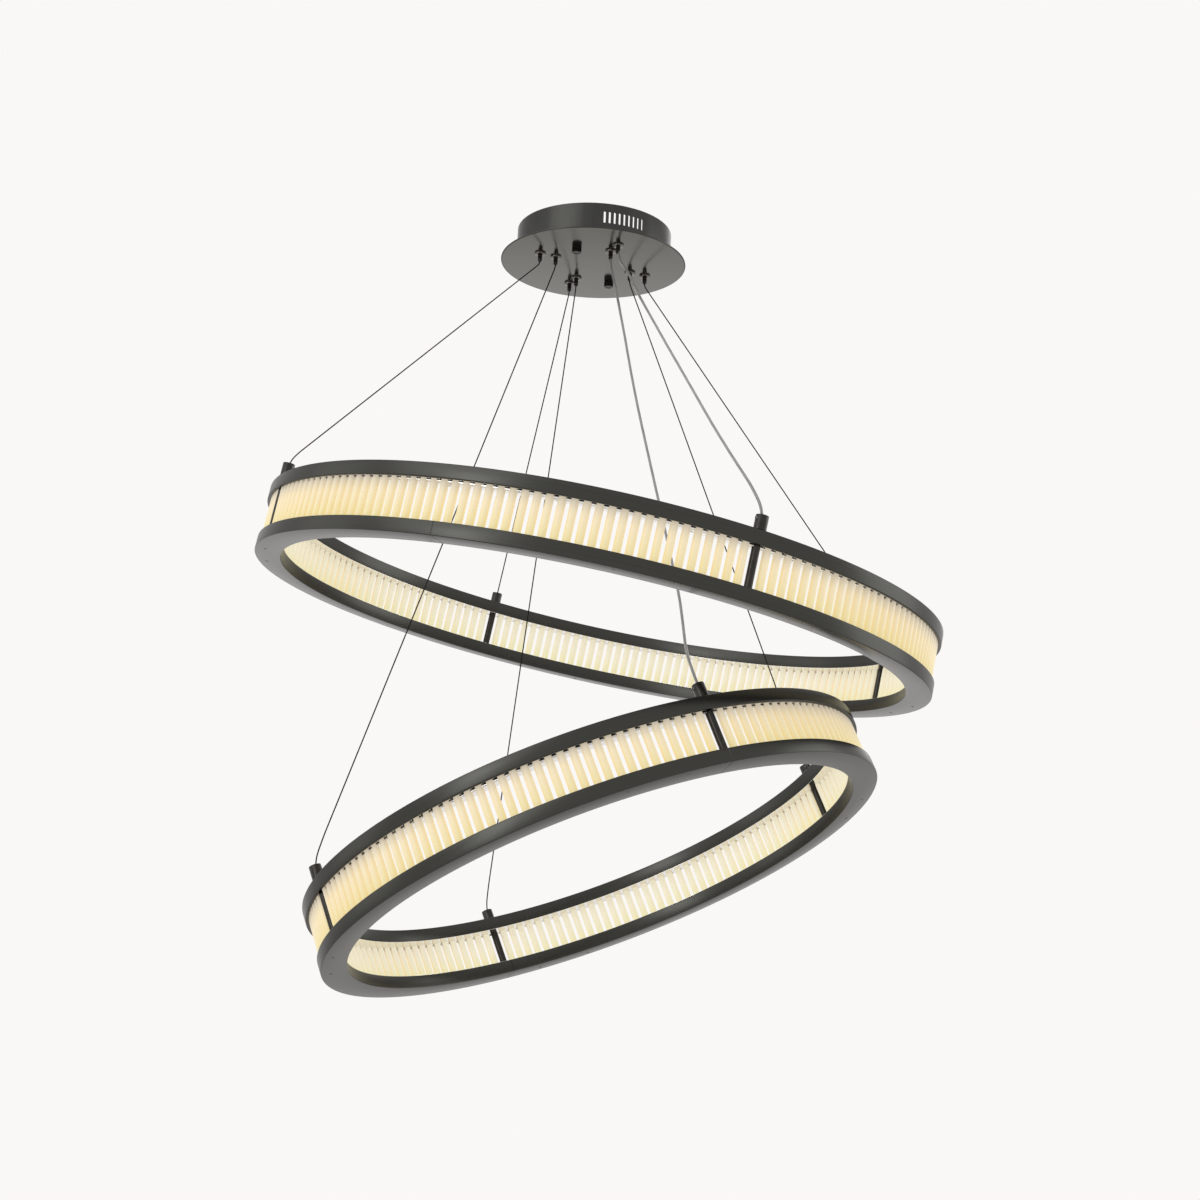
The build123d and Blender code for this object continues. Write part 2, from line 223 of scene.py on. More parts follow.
class ChandelierSizes(bpy.types.PropertyGroup):
    """Sizes of the dressed pieces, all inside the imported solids."""

    upper_diameter: length("Upper ring", "Outer diameter of the upper ring", 800 * MM)
    lower_diameter: length("Lower ring", "Outer diameter of the lower ring", 660 * MM)
    profile_width: length("Profile width", "Width of a ring's metal profile", 30 * MM)
    channel_height: length("Channel height", "Height of each metal channel", 15 * MM)
    edge_radius: length("Edge radius", "Radius of the profile's outer edges", 0.9 * MM)
    rod_show: length("Rod height", "Length of rod that shows between the channels", 44 * MM)
    rod_seat: length("Rod seat", "Depth that a rod goes into a groove", 7 * MM)
    rod_diameter: length("Rod diameter", "Diameter of a light rod", 8.5 * MM)
    rod_inset: length("Rod inset", "From the ring's outer face to the rods' axes", 8 * MM)
    groove_width: length("Groove width", "Width of the groove that holds the rods", 8.7 * MM)
    strip_height: length("Light strip", "Height of the light strip below the rods", 4 * MM)
    upper_rods: amount("Upper rods", "Rods between two posts of the upper ring", 49)
    lower_rods: amount("Lower rods", "Rods between two posts of the lower ring", 40)
    post_diameter: length("Post diameter", "Diameter of a post between the channels", 8.6 * MM)
    boss_diameter: length("Boss diameter", "Diameter of a boss on the top channel", 13.5 * MM)
    boss_height: length("Boss height", "Height of a boss", 16 * MM)
    wire_diameter: length("Wire diameter", "Diameter of a hanging wire", 1.5 * MM)
    cord_diameter: length("Cord diameter", "Diameter of a power cord", 3.2 * MM)
    flange_diameter: length("Flange diameter", "Diameter of an outlet's flange", 13.5 * MM)
    nozzle_diameter: length("Nozzle diameter", "Diameter of an outlet's nozzle", 5.5 * MM)
    nut_diameter: length("Nut diameter", "Diameter of a canopy nut", 11.6 * MM)
    vent_width: length("Vent width", "Width of a vent in the drum", 2.6 * MM)
    vent_length: length("Vent length", "Length of a vent in the drum", 14.7 * MM)


class ChandelierFinish(bpy.types.PropertyGroup):
    """Colours and gloss of the finishes."""

    ring_colour: tint("Ring metal", "Brushed dark metal of the rings", (0.050, 0.050, 0.046))
    ring_roughness: share("Ring roughness", "Roughness of the rings' metal", 0.285)
    cover_roughness: share("Underside roughness", "Roughness of the smoother underside", 0.22)
    drum_colour: tint("Drum metal", "Dark metal of the canopy drum", (0.051, 0.051, 0.048))
    plate_colour: tint("Plate metal", "Polished metal of the canopy plate", (0.122, 0.122, 0.110))
    fitting_colour: tint("Fittings", "Blackened metal of the fittings", (0.036, 0.034, 0.031))
    # The rods glow from the light strip below them. Their colours paint how that light falls: paler
    # at the front and back, deeper at the sides between the rods, warm at the foot, dim at the top,
    # and painted shade where the groove hides the sides.
    rod_front: tint("Rod front", "Glow of a rod's outer side", (0.838, 0.722, 0.488))
    rod_side: tint("Rod side", "Glow of a rod's sides, between two rods", (0.866, 0.697, 0.402))
    rod_back: tint("Rod back", "Glow of a rod's inner side", (0.870, 0.805, 0.615))
    rod_foot_glow: tint("Rod foot", "Warmth that a rod has near the light strip", (1.0, 1.0, 0.82))
    rod_top_shade: tint("Rod top", "A rod's upper end, far from the light strip", (0.600, 0.533, 0.434))
    rod_shade: tint("Rod shade", "A rod's sides that the groove shades", (0.130, 0.115, 0.098))
    rod_glow: share("Rod glow", "Part of a rod's brightness that it gives off itself", 0.72)
    wire_colour: tint("Wire steel", "Steel of the hanging wires", (0.020, 0.020, 0.019))
    cord_colour: tint("Cord", "Clear jacket of the power cords", (0.215, 0.215, 0.205))
    strip_colour: tint("Polished strip", "Strips in which the rods mirror", (0.85, 0.83, 0.80))
    background: tint("Background", "What the camera sees round the lamp", (0.956, 0.939, 0.922))


def both_ways(operation):
    """An operator and its reflected form, which add a Math node."""
    return (
        lambda self, other: self.maths(operation, self, other),
        lambda self, other: self.maths(operation, other, self),
    )


class Signal:
    """A node socket whose arithmetic adds Math nodes to its tree."""

    __add__, __radd__ = both_ways("ADD")
    __sub__, __rsub__ = both_ways("SUBTRACT")
    __mul__, __rmul__ = both_ways("MULTIPLY")
    __truediv__, __rtruediv__ = both_ways("DIVIDE")
    __mod__, __rmod__ = both_ways("MODULO")

    def __init__(self, tree, socket=None):
        self.tree = tree
        self.socket = socket

    def node(self, kind, settings=None, sockets=None):
        """Adds a node, sets it, then fills or links its sockets; gives its first output."""
        made = self.tree.nodes.new(kind)
        for name, value in (settings or {}).items():
            if name == "stops":
                ramp = made.color_ramp.elements
                while len(ramp) < len(value):
                    ramp.new(0.5)
                for stop, (place, colour) in zip(ramp, value):
                    stop.position = place
                    stop.color = (*colour, 1.0)
            else:
                setattr(made, name, value)
        for name, value in (sockets or {}).items():
            if isinstance(name, int):
                target = made.inputs[name]
            else:
                target = next(s for s in made.inputs if s.name == name and s.enabled)
            if isinstance(value, Signal):
                self.tree.links.new(value.socket, target)
            else:
                target.default_value = value
        return Signal(self.tree, next((s for s in made.outputs if s.enabled), None))

    def out(self, name):
        """Another output of the same node."""
        outputs = self.socket.node.outputs
        return Signal(self.tree, next(s for s in outputs if s.name == name and s.enabled))

    def maths(self, operation, first, second=0.0):
        """One Math node."""
        return self.node("ShaderNodeMath", {"operation": operation}, {0: first, 1: second})


def new_finish(name):
    """An empty material and the start of its node tree."""
    finish = bpy.data.materials.new(name)
    finish.use_nodes = True
    finish.node_tree.nodes.clear()
    return finish, Signal(finish.node_tree)


def surface(shade, sockets):
    """Closes a material with one principled surface."""
    made = shade.node("ShaderNodeBsdfPrincipled", {}, sockets)
    shade.node("ShaderNodeOutputMaterial", {}, {"Surface": made})


def coordinates(shade, kind):
    """A piece's own coordinates: Object or UV."""
    return shade.node("ShaderNodeTexCoord").out(kind)


def stretched(shade, vector, scale):
    """A vector stretched by a scale on each axis."""
    return shade.node("ShaderNodeVectorMath", {"operation": "MULTIPLY"}, {0: vector, 1: scale})


def noise(shade, vector, scale=1.0, detail=3.0):
    """Smooth noise, from 0 to 1 about one half."""
    sockets = {"Vector": vector, "Scale": scale, "Detail": detail}
    return shade.node("ShaderNodeTexNoise", {}, sockets)


def cells(shade, scale, output):
    """One output of a pattern of cells."""
    sockets = {"Vector": coordinates(shade, "Object"), "Scale": scale}
    return shade.node("ShaderNodeTexVoronoi", {}, sockets).out(output)


def smooth_change(shade, value, start, end, first, last):
    """A number that goes smoothly from first to last while a value goes from start to end."""
    return shade.node(
        "ShaderNodeMapRange",
        {"interpolation_type": "SMOOTHSTEP"},
        {"Value": value, "From Min": start, "From Max": end, "To Min": first, "To Max": last},
    )


def relief(shade, height, strength, depth=0.1 * MM):
    """A slight relief of the surface."""
    sockets = {"Strength": strength, "Distance": depth, "Height": height}
    return shade.node("ShaderNodeBump", {}, sockets)


def blend_colours(shade, factor, first, second, kind="MIX"):
    """A colour between two others, or the first one times the second."""
    first, second = (
        value if isinstance(value, Signal) else (*value, 1.0) for value in (first, second)
    )
    return shade.node(
        "ShaderNodeMix",
        {"data_type": "RGBA", "blend_type": kind},
        {"Factor": factor, "A": first, "B": second},
    )


def toned(colour, part):
    """A colour times a number."""
    return tuple(channel * part for channel in colour)


def two_tones(shade, factor, colour, dark, light):
    """A colour that varies between two tones of itself."""
    return blend_colours(shade, factor, toned(colour, dark), toned(colour, light))


def winding(shade, pitch):
    """Turns along and round a wire or cord, from the metres and the turn of its UV map."""
    mapped = shade.node("ShaderNodeSeparateXYZ", {}, {"Vector": coordinates(shade, "UV")})
    return mapped.out("X") / pitch + mapped.out("Y")


def brushed_metal(name, colour, roughness, brush, contrast=0.18, edge=1.0):
    """Brushed metal: fine scratches and broad streaks along one direction of the UV map."""
    finish, shade = new_finish(name)
    mapped = coordinates(shade, "UV")
    scratches, streaks = (
        noise(shade, stretched(shade, mapped, scale), detail=2.0) for scale in brush
    )
    worn = scratches * 0.3 + streaks * 0.7
    surface(
        shade,
        {
            "Base Color": two_tones(shade, worn, colour, 1 - contrast, 1 + contrast),
            "Metallic": 1.0,
            "Roughness": roughness - 0.03 + worn * 0.06,
            "Specular Tint": (edge, edge, edge, 1.0),
            "Normal": relief(shade, scratches, 0.03),
        },
    )
    return finish


def blackened_metal(name, colour, roughness):
    """Blackened turned metal with a fine grain and slightly worn spots."""
    finish, shade = new_finish(name)
    place = coordinates(shade, "Object")
    grain = noise(shade, place, scale=1800.0, detail=2.0)
    wear_and_sheen = noise(shade, place, scale=160.0, detail=4.0)
    surface(
        shade,
        {
            "Base Color": two_tones(shade, wear_and_sheen, colour, 0.7, 1.4),
            "Metallic": 1.0,
            "Roughness": roughness - 0.05 + wear_and_sheen * 0.1,
            "Normal": relief(shade, grain, 0.08),
        },
    )
    return finish


def frosted_rod(tints):
    """Frosted clear rod that glows from its lower end, its colour painted light: a warm foot,
    deeper sides, and painted shade that greys the top and the sides in the groove.
    """
    finish, shade = new_finish("frosted_rod")
    rise, outward = (
        shade.node("ShaderNodeAttribute", {"attribute_name": name}).out("Fac")
        for name in ("rise", "outward")
    )
    frost = noise(shade, coordinates(shade, "Object"), scale=420.0, detail=3.0)
    # Painted light round each rod: paler at the front and back, deeper at the sides between the
    # rods.
    stops = (
        (0.0, tints.rod_back), (0.3, tints.rod_back),
        (0.48, tints.rod_side), (0.68, tints.rod_side),
        (1.0, tints.rod_front),
    )
    around = shade.node("ShaderNodeValToRGB", {"stops": stops}, {"Fac": outward * 0.5 + 0.5})
    # Painted glow, warmest near the light strip at the foot.
    glow_at_foot = smooth_change(shade, rise, 0.15, 0.6, 1.0, 0.0)
    around = blend_colours(shade, glow_at_foot, around, tints.rod_foot_glow, "MULTIPLY")
    # Painted shade that greys the upper end of the rod, less on its inner side.
    inside = smooth_change(shade, outward, -0.45, 0.05, 1.0, 0.0)
    height = rise + (frost - 0.5) * 0.04 - inside * 0.27
    top_shade_amount = smooth_change(shade, height, 0.58, 0.91, 0.0, 0.85)
    # Painted shade on the upper sides that the groove hides.
    open_side = shade.maths("MAXIMUM", outward, 0.0)
    sheltered = rise - open_side * open_side * 0.12
    shaded = smooth_change(shade, sheltered, 0.8, 0.89, 0.0, 0.9)
    top_shade_colour = blend_colours(shade, shaded, tints.rod_top_shade, tints.rod_shade)
    glow = blend_colours(shade, top_shade_amount, around, top_shade_colour)
    lit_part = frost * 0.1 + (1 - tints.rod_glow)
    surface(
        shade,
        {
            "Base Color": blend_colours(shade, lit_part, (0.0, 0.0, 0.0), glow),
            "Roughness": 0.42 + frost * 0.15,
            "Emission Color": glow,
            "Emission Strength": tints.rod_glow,
        },
    )
    return finish


def twisted_strands(name, colour, strands, pitch, roughness):
    """A wire's strands, wound along its UV map, with painted shade in the grooves between them."""
    finish, shade = new_finish(name)
    wave = shade.maths("SINE", winding(shade, pitch) * (math.pi * strands))
    # The strands' height gives their relief and, darker in the grooves, painted shade.
    ridge = shade.maths("ABSOLUTE", wave)
    surface(
        shade,
        {
            "Base Color": two_tones(shade, ridge, colour, 0.9, 1.08),
            "Metallic": 1.0,
            "Roughness": roughness,
            "Specular Tint": (0.4, 0.4, 0.4, 1.0),
            "Normal": relief(shade, ridge, 0.12, depth=0.2 * MM),
        },
    )
    return finish


def clear_jacket(name, colour, pitch):
    """A clear glossy jacket over two slowly wound conductors, which show as faint stripes."""
    finish, shade = new_finish(name)
    stripe = shade.maths("SINE", winding(shade, pitch) * (2 * math.tau)) * 0.5 + 0.5
    clouded = noise(shade, stretched(shade, coordinates(shade, "UV"), (90.0, 3.0, 1.0)))
    surface(
        shade,
        {
            "Base Color": two_tones(shade, stripe * 0.7 + clouded * 0.3, colour, 0.82, 1.2),
            "Roughness": 0.24 + clouded * 0.14,
            "Coat Weight": 0.7,
            "Coat Roughness": 0.1,
        },
    )
    return finish


def moulded_plastic(name, colour, roughness):
    """Moulded plastic with a fine texture and slight unevenness of colour."""
    finish, shade = new_finish(name)
    place = coordinates(shade, "Object")
    grain = noise(shade, place, scale=2200.0, detail=2.0)
    cloud = noise(shade, place, scale=60.0, detail=3.0)
    surface(
        shade,
        {
            "Base Color": two_tones(shade, cloud, colour, 0.92, 1.04),
            "Roughness": roughness - 0.05 + grain * 0.1,
            "Normal": relief(shade, grain, 0.15),
        },
    )
    return finish


def zinc_plate(name, colour):
    """Zinc-plated sheet steel with its soft spangle."""
    finish, shade = new_finish(name)
    spangle = {"Vector": cells(shade, 140.0, "Color")}
    patch = shade.node("ShaderNodeSeparateXYZ", {}, spangle).out("X")
    base = two_tones(shade, patch, colour, 0.82, 1.1)
    surface(shade, {"Base Color": base, "Metallic": 1.0, "Roughness": 0.3 + patch * 0.14})
    return finish


def light_strip(name):
    """Warm light strip with a row of small lamps under a milky cover."""
    finish, shade = new_finish(name)
    lamps = cells(shade, 110.0, "Distance") * 1.4
    surface(
        shade,
        {
            "Base Color": (0.7, 0.66, 0.56, 1.0),
            "Roughness": 0.5,
            "Emission Color": blend_colours(shade, lamps, (1.0, 0.84, 0.56), (0.8, 0.62, 0.36)),
            "Emission Strength": 1.0,
        },
    )
    return finish


def near(corner, *steps):
    """Points at steps in millimetres from a corner, which is in metres."""
    return [tuple(here + step * MM for here, step in zip(corner, each)) for each in steps]


def run_lengths(points):
    """How far along a line each of its points is."""
    return [0.0, *accumulate((Vector(b) - Vector(a)).length for a, b in zip(points, points[1:]))]


def circle(radius, height, count):
    """Points round the upright axis."""
    angles = [math.tau * i / count for i in range(count)]
    return [(radius * math.cos(angle), radius * math.sin(angle), height) for angle in angles]


class Shape:
    """The points, faces and UV marks of a piece while it is put together."""

    def __init__(self):
        self.points = []
        self.faces = []
        self.marks = []

    def skin(self, sections, place=Matrix(), loop=False, along=None, across=None):
        """Joins closed sections one after the other, with UVs in metres along and across them."""
        count, total, first = len(sections[0]), len(sections), len(self.points)
        self.points += [place @ Vector(point) for section in sections for point in section]
        if along is None:
            along = run_lengths([section[0] for section in (*sections, sections[0])])
        if across is None:
            widest = max(sections, key=lambda section: max(Vector(p).length for p in section))
            across = run_lengths([*widest, widest[0]])
        for i in range(total if loop else total - 1):
            a, b = first + i * count, first + (i + 1) % total * count
            for k in range(count):
                n = (k + 1) % count
                self.faces.append((a + k, a + n, b + n, b + k))
                corners = ((i, k), (i, k + 1), (i + 1, k + 1), (i + 1, k))
                self.marks.append([(along[u], across[v]) for u, v in corners])
        if not loop:
            for i in (0, total - 1):
                self.faces.append(tuple(range(first + i * count, first + (i + 1) * count)))
                self.marks.append([(point[0], point[1]) for point in sections[i]])
        return self

    def turned(self, profile, count, place=Matrix(), loop=False):
        """A turned form: radius and height pairs, swept round the upright axis."""
        sections = [circle(radius, height, count) for radius, height in profile]
        return self.skin(sections, place, loop=loop)


def eased(corners, radius, steps=3):
    """A closed outline with each of its corners eased by a radius, or left sharp at 0."""
    outline = []
    for i, corner in enumerate(corners):
        here = Vector(corner)
        size = radius[i] if isinstance(radius, (list, tuple)) else radius
        if not size:
            outline.append(here)
            continue
        before = (Vector(corners[i - 1]) - here).normalized() * size
        after = (Vector(corners[(i + 1) % len(corners)]) - here).normalized() * size
        for k in range(steps + 1):
            t = k / steps
            outline.append(here + before * (1 - t) ** 2 + after * t ** 2)
    return outline


def bent(outline, place, seams=(), steps=SIDES["ring"]):
    """A cross-section of radius and height pairs bent to a ring, with a fine line at each seam."""
    radius = max(r for r, _ in outline)
    half_gap = SEAM_HALF_WIDTH / radius
    middle = [sum(values) / len(outline) for values in zip(*outline)]
    stations = [(math.tau * i / steps, 1.0) for i in range(steps)]
    for seam in seams:
        stations = [
            (angle, size) for angle, size in stations
            if abs((angle - seam + math.pi) % math.tau - math.pi) > 2 * half_gap
        ]
        for k in (-1, 0, 1):
            stations.append(((seam + k * half_gap) % math.tau, 1.0 if k else SEAM_SIZE))
    stations.sort()
    sections = []
    for angle, size in stations:
        section = [[m + (v - m) * size for v, m in zip(point, middle)] for point in outline]
        sections.append([(r * math.cos(angle), r * math.sin(angle), z) for r, z in section])
    along = [angle * radius for angle, _ in stations]
    along.append((stations[0][0] + math.tau) * radius)
    return Shape().skin(sections, place, loop=True, along=along)


def finish_mesh(mesh):
    """Merges doubles, turns the faces outward and keeps the edges crisp."""
    work = bmesh.new()
    work.from_mesh(mesh)
    bmesh.ops.remove_doubles(work, verts=work.verts, dist=1e-6)
    bmesh.ops.recalc_face_normals(work, faces=work.faces)
    for face in work.faces:
        face.smooth = True
    for edge in work.edges:
        edge.smooth = len(edge.link_faces) == 2 and edge.calc_face_angle() < SHARP_EDGE
    work.to_mesh(mesh)
    work.free()


def new_object(name, data):
    """An object at the origin, linked to the scene."""
    made = bpy.data.objects.new(name, data)
    bpy.context.scene.collection.objects.link(made)
    return made


def shape_mesh(name, shape, finish):
    """The mesh of a shape with its UVs and finish."""
    mesh = bpy.data.meshes.new(name)
    mesh.from_pydata(shape.points, [], shape.faces)
    layer = mesh.uv_layers.new(name="UVMap")
    layer.data.foreach_set("uv", [v for face in shape.marks for mark in face for v in mark])
    mesh.materials.append(finish)
    finish_mesh(mesh)
    return mesh


def refinish(mesh, finish, test):
    """Gives the faces that pass a test another finish."""
    mesh.materials.append(finish)
    for face in mesh.polygons:
        face.material_index = int(test(face))


def place_piece(name, mesh, body, slot, *nodes):
    """Puts a finished mesh on its body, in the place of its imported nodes."""
    piece = new_object(name, mesh)
    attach(piece, body)
    if nodes:
        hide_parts(*nodes)
    return piece


def shape_piece(name, shape, finish, body, slot, *nodes):
    """Makes a shape's mesh and puts it on its body."""
    return place_piece(name, shape_mesh(name, shape, finish), body, slot, *nodes)


def settled(made):
    """The plain mesh of an object with its modifiers, which is then removed."""
    graph = bpy.context.evaluated_depsgraph_get()
    graph.update()
    mesh = bpy.data.meshes.new_from_object(made.evaluated_get(graph))
    bpy.data.objects.remove(made)
    return mesh


def ring_frame(ring):
    """From a ring's own frame to the row frame."""
    about_x, about_y = (math.radians(angle) for angle in RING_TILT[ring])
    turn = Matrix.Rotation(about_x, 4, "X") @ Matrix.Rotation(about_y, 4, "Y")
    return Matrix.Translation(RING_CENTRE[ring]) @ turn


def ring_radius(sizes, ring):
    """Outer radius of a ring."""
    return (sizes.upper_diameter if ring == "upper" else sizes.lower_diameter) / 2


def post_place(sizes, ring, quarter, height=0.0):
    """The frame of a post or boss: X points outward and Z along the ring's axis."""
    turn = Matrix.Rotation(POST_ANGLE + quarter * math.tau / QUARTERS, 4, "Z")
    step = Matrix.Translation((ring_radius(sizes, ring) - sizes.rod_inset, 0, height))
    return ring_frame(ring) @ turn @ step


def boss_entry(sizes, ring, quarter):
    """The point where a wire or cord enters its boss, and the direction of the ring's axis."""
    top = sizes.rod_show / 2 + sizes.channel_height + sizes.boss_height
    axis = ring_frame(ring).to_3x3() @ Vector((0, 0, 1))
    return post_place(sizes, ring, quarter, top).translation, axis


def outlet(ring, quarter, z):
    """A point on the axis of an outlet in the canopy plate."""
    angle = OUTLET_ANGLE + quarter * math.tau / QUARTERS
    radius = OUTLET_RADIUS[ring]
    return Vector((radius * math.cos(angle), radius * math.sin(angle), z))


def spline_points(points):
    """Points along the smooth line that a route's points shape."""
    data = bpy.data.curves.new("route", "CURVE")
    data.dimensions = "3D"
    data.resolution_u = 16
    spline = data.splines.new("NURBS")
    spline.points.add(len(points) - 1)
    for target, point in zip(spline.points, points):
        target.co = (*point, 1.0)
    spline.order_u = 3
    spline.use_endpoint_u = True
    line = settled(new_object("route", data))
    found = [vertex.co.copy() for vertex in line.vertices]
    bpy.data.meshes.remove(line)
    bpy.data.curves.remove(data)
    if (found[0] - Vector(points[0])).length > (found[-1] - Vector(points[0])).length:
        found.reverse()
    return found


def tube_shape(path, radius, sides):
    """A round tube along a path, with metres along it and one turn round it as UVs."""
    sections = []
    side = (path[1] - path[0]).orthogonal().normalized()
    for i, point in enumerate(path):
        along = (path[min(i + 1, len(path) - 1)] - path[max(i - 1, 0)]).normalized()
        side = (side - along * side.dot(along)).normalized()
        other = along.cross(side)
        sections.append([point + x * side + y * other for x, y, _ in circle(radius, 0.0, sides)])
    across = [k / sides for k in range(sides + 1)]
    return Shape().skin(sections, along=run_lengths(path), across=across)


def hang_cord(name, ring, route, diameter, sides, finish, slot, **facts):
    """A wire or cord as a tube on its smooth route."""
    path = spline_points(route)
    tube = tube_shape(path, diameter / 2, sides)
    piece = shape_piece(name + "_line", tube, finish, "canopy", slot, name)
    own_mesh(piece)


class PieceOperator:
    """What the operators of the pieces share."""

    bl_options = {"REGISTER", "UNDO"}

    @staticmethod
    def values(context):
        """The sizes and the finishes of the scene."""
        return context.scene.chandelier_sizes, context.scene.chandelier_finish


class CHANDELIER_OT_hanging_wires(PieceOperator, bpy.types.Operator):
    """Makes the six steel wires between the grippers and the bosses"""

    bl_idname = "chandelier.hanging_wires"
    bl_label = "Hanging wires"

    def execute(self, context):
        sizes, finish = self.values(context)
        steel = twisted_strands(
            "wire_rope", finish.wire_colour, WIRE_STRANDS, STRAND_PITCH, roughness=0.34
        )
        reach = BEND_DIAMETERS * sizes.wire_diameter
        for ring in RINGS:
            for side, quarter in WIRE_QUARTERS.items():
                bend = outlet(ring, quarter, NOZZLE_TIP - WIRE_BEND)
                entry, axis = boss_entry(sizes, ring, quarter)
                chord = (bend - entry).normalized()
                lean = axis - chord * axis.dot(chord)
                knee = entry + chord * WIRE_KNEE[ring] + lean * KNEE_LEAN
                run = (knee - bend).normalized() * reach
                route = [
                    outlet(ring, quarter, TAIL_TOP),
                    bend + Vector((0, 0, reach)),
                    bend,
                    bend + run,
                    knee - run,
                    knee,
                    entry + axis * WIRE_BEND,
                    entry - axis * SEAT_DEPTH,
                ]
                hang_cord(
                    f"{ring}_wire_{side}", ring, route, sizes.wire_diameter, SIDES["wire"],
                    steel, "wire_steel",
                    length=WIRE_LENGTH[ring][side], stiffness="stiff", lay="taut",
                )
        return {"FINISHED"}


class CHANDELIER_OT_power_cords(PieceOperator, bpy.types.Operator):
    """Makes the two clear power cords"""

    bl_idname = "chandelier.power_cords"
    bl_label = "Power cords"

    def execute(self, context):
        sizes, finish = self.values(context)
        clear = clear_jacket("clear_cord", finish.cord_colour, CORD_TWIST)
        for ring in RINGS:
            entry, axis = boss_entry(sizes, ring, CORD_QUARTER)
            route = [
                outlet(ring, CORD_QUARTER, TAIL_TOP),
                outlet(ring, CORD_QUARTER, NOZZLE_TIP - CORD_DROP),
                *(Vector(point) * MM for point in CORD_POINTS[ring]),
                entry + axis * CORD_RISE,
                entry - axis * SEAT_DEPTH,
            ]
            hang_cord(
                f"{ring}_power_cord", ring, route, sizes.cord_diameter, SIDES["cord"],
                clear, "cord_clear",
                length=CORD_LENGTH[ring], stiffness="medium", lay="hanging",
            )
        return {"FINISHED"}


RING_SOCKETS = (
    ("Ring radius", "NodeSocketFloat"),
    ("First angle", "NodeSocketFloat"),
    ("Centre", "NodeSocketVector"),
    ("Tilt", "NodeSocketVector"),
    ("Finish", "NodeSocketMaterial"),
)


def new_tree(name, sockets):
    """A geometry node tree with named inputs: its start and its inputs."""
    tree = bpy.data.node_groups.new(name, "GeometryNodeTree")
    for label, kind in (*sockets, *RING_SOCKETS):
        tree.interface.new_socket(name=label, in_out="INPUT", socket_type=kind)
    tree.interface.new_socket(name="Made", in_out="OUTPUT", socket_type="NodeSocketGeometry")
    start = Signal(tree)
    return start, start.node("NodeGroupInput")


def ring_spots(start, given, count, angle, height=0.0):
    """Points at an angle each on a ring that lies flat."""
    radius = given.out("Ring radius")
    x, y = (start.maths(part, angle) * radius for part in ("COSINE", "SINE"))
    spot = start.node("ShaderNodeCombineXYZ", {}, {"X": x, "Y": y, "Z": height})
    return start.node("GeometryNodePoints", {}, {"Count": count, "Position": spot})


def position(start):
    """The parts of a point's position."""
    here = start.node("GeometryNodeInputPosition")
    return start.node("ShaderNodeSeparateXYZ", {}, {"Vector": here})


def rotation(start, euler):
    """A rotation from its three angles."""
    return start.node("FunctionNodeEulerToRotation", {}, {"Euler": euler})


def set_round(start, given, spots, shape):
    """Stands a shape on every spot, facing outward, then tilts the ring and gives it its finish."""
    spot = position(start)
    angle = start.maths("ARCTAN2", spot.out("Y"), spot.out("X"))
    facing = start.node("ShaderNodeCombineXYZ", {}, {"Z": angle})
    made = start.node(
        "GeometryNodeInstanceOnPoints",
        {},
        {"Points": spots, "Instance": shape, "Rotation": rotation(start, facing)},
    )
    tilt = rotation(start, given.out("Tilt"))
    made = start.node(
        "GeometryNodeTransform",
        {},
        {"Geometry": made, "Translation": given.out("Centre"), "Rotation": tilt},
    )
    made = start.node("GeometryNodeRealizeInstances", {}, {"Geometry": made})
    sockets = {"Geometry": made, "Material": given.out("Finish")}
    start.node("NodeGroupOutput", {}, {"Made": start.node("GeometryNodeSetMaterial", {}, sockets)})
    return start.tree


def fastener_tree():
    """Geometry nodes that set one small shape in equal groups round a ring."""
    start, given = new_tree(
        "ring_fasteners",
        (
            ("Shape", "NodeSocketObject"),
            ("Groups", "NodeSocketInt"),
            ("Per group", "NodeSocketInt"),
            ("Spacing", "NodeSocketFloat"),
            ("Height", "NodeSocketFloat"),
        ),
    )
    index, each = start.node("GeometryNodeInputIndex"), given.out("Per group")
    group = start.maths("FLOOR", index / each)
    angle = given.out("First angle") + group / given.out("Groups") * math.tau
    angle = angle + index % each * given.out("Spacing")
    spots = ring_spots(start, given, given.out("Groups") * each, angle, given.out("Height"))
    shape = start.node("GeometryNodeObjectInfo", {}, {"Object": given.out("Shape")})
    return set_round(start, given, spots, shape.out("Geometry"))


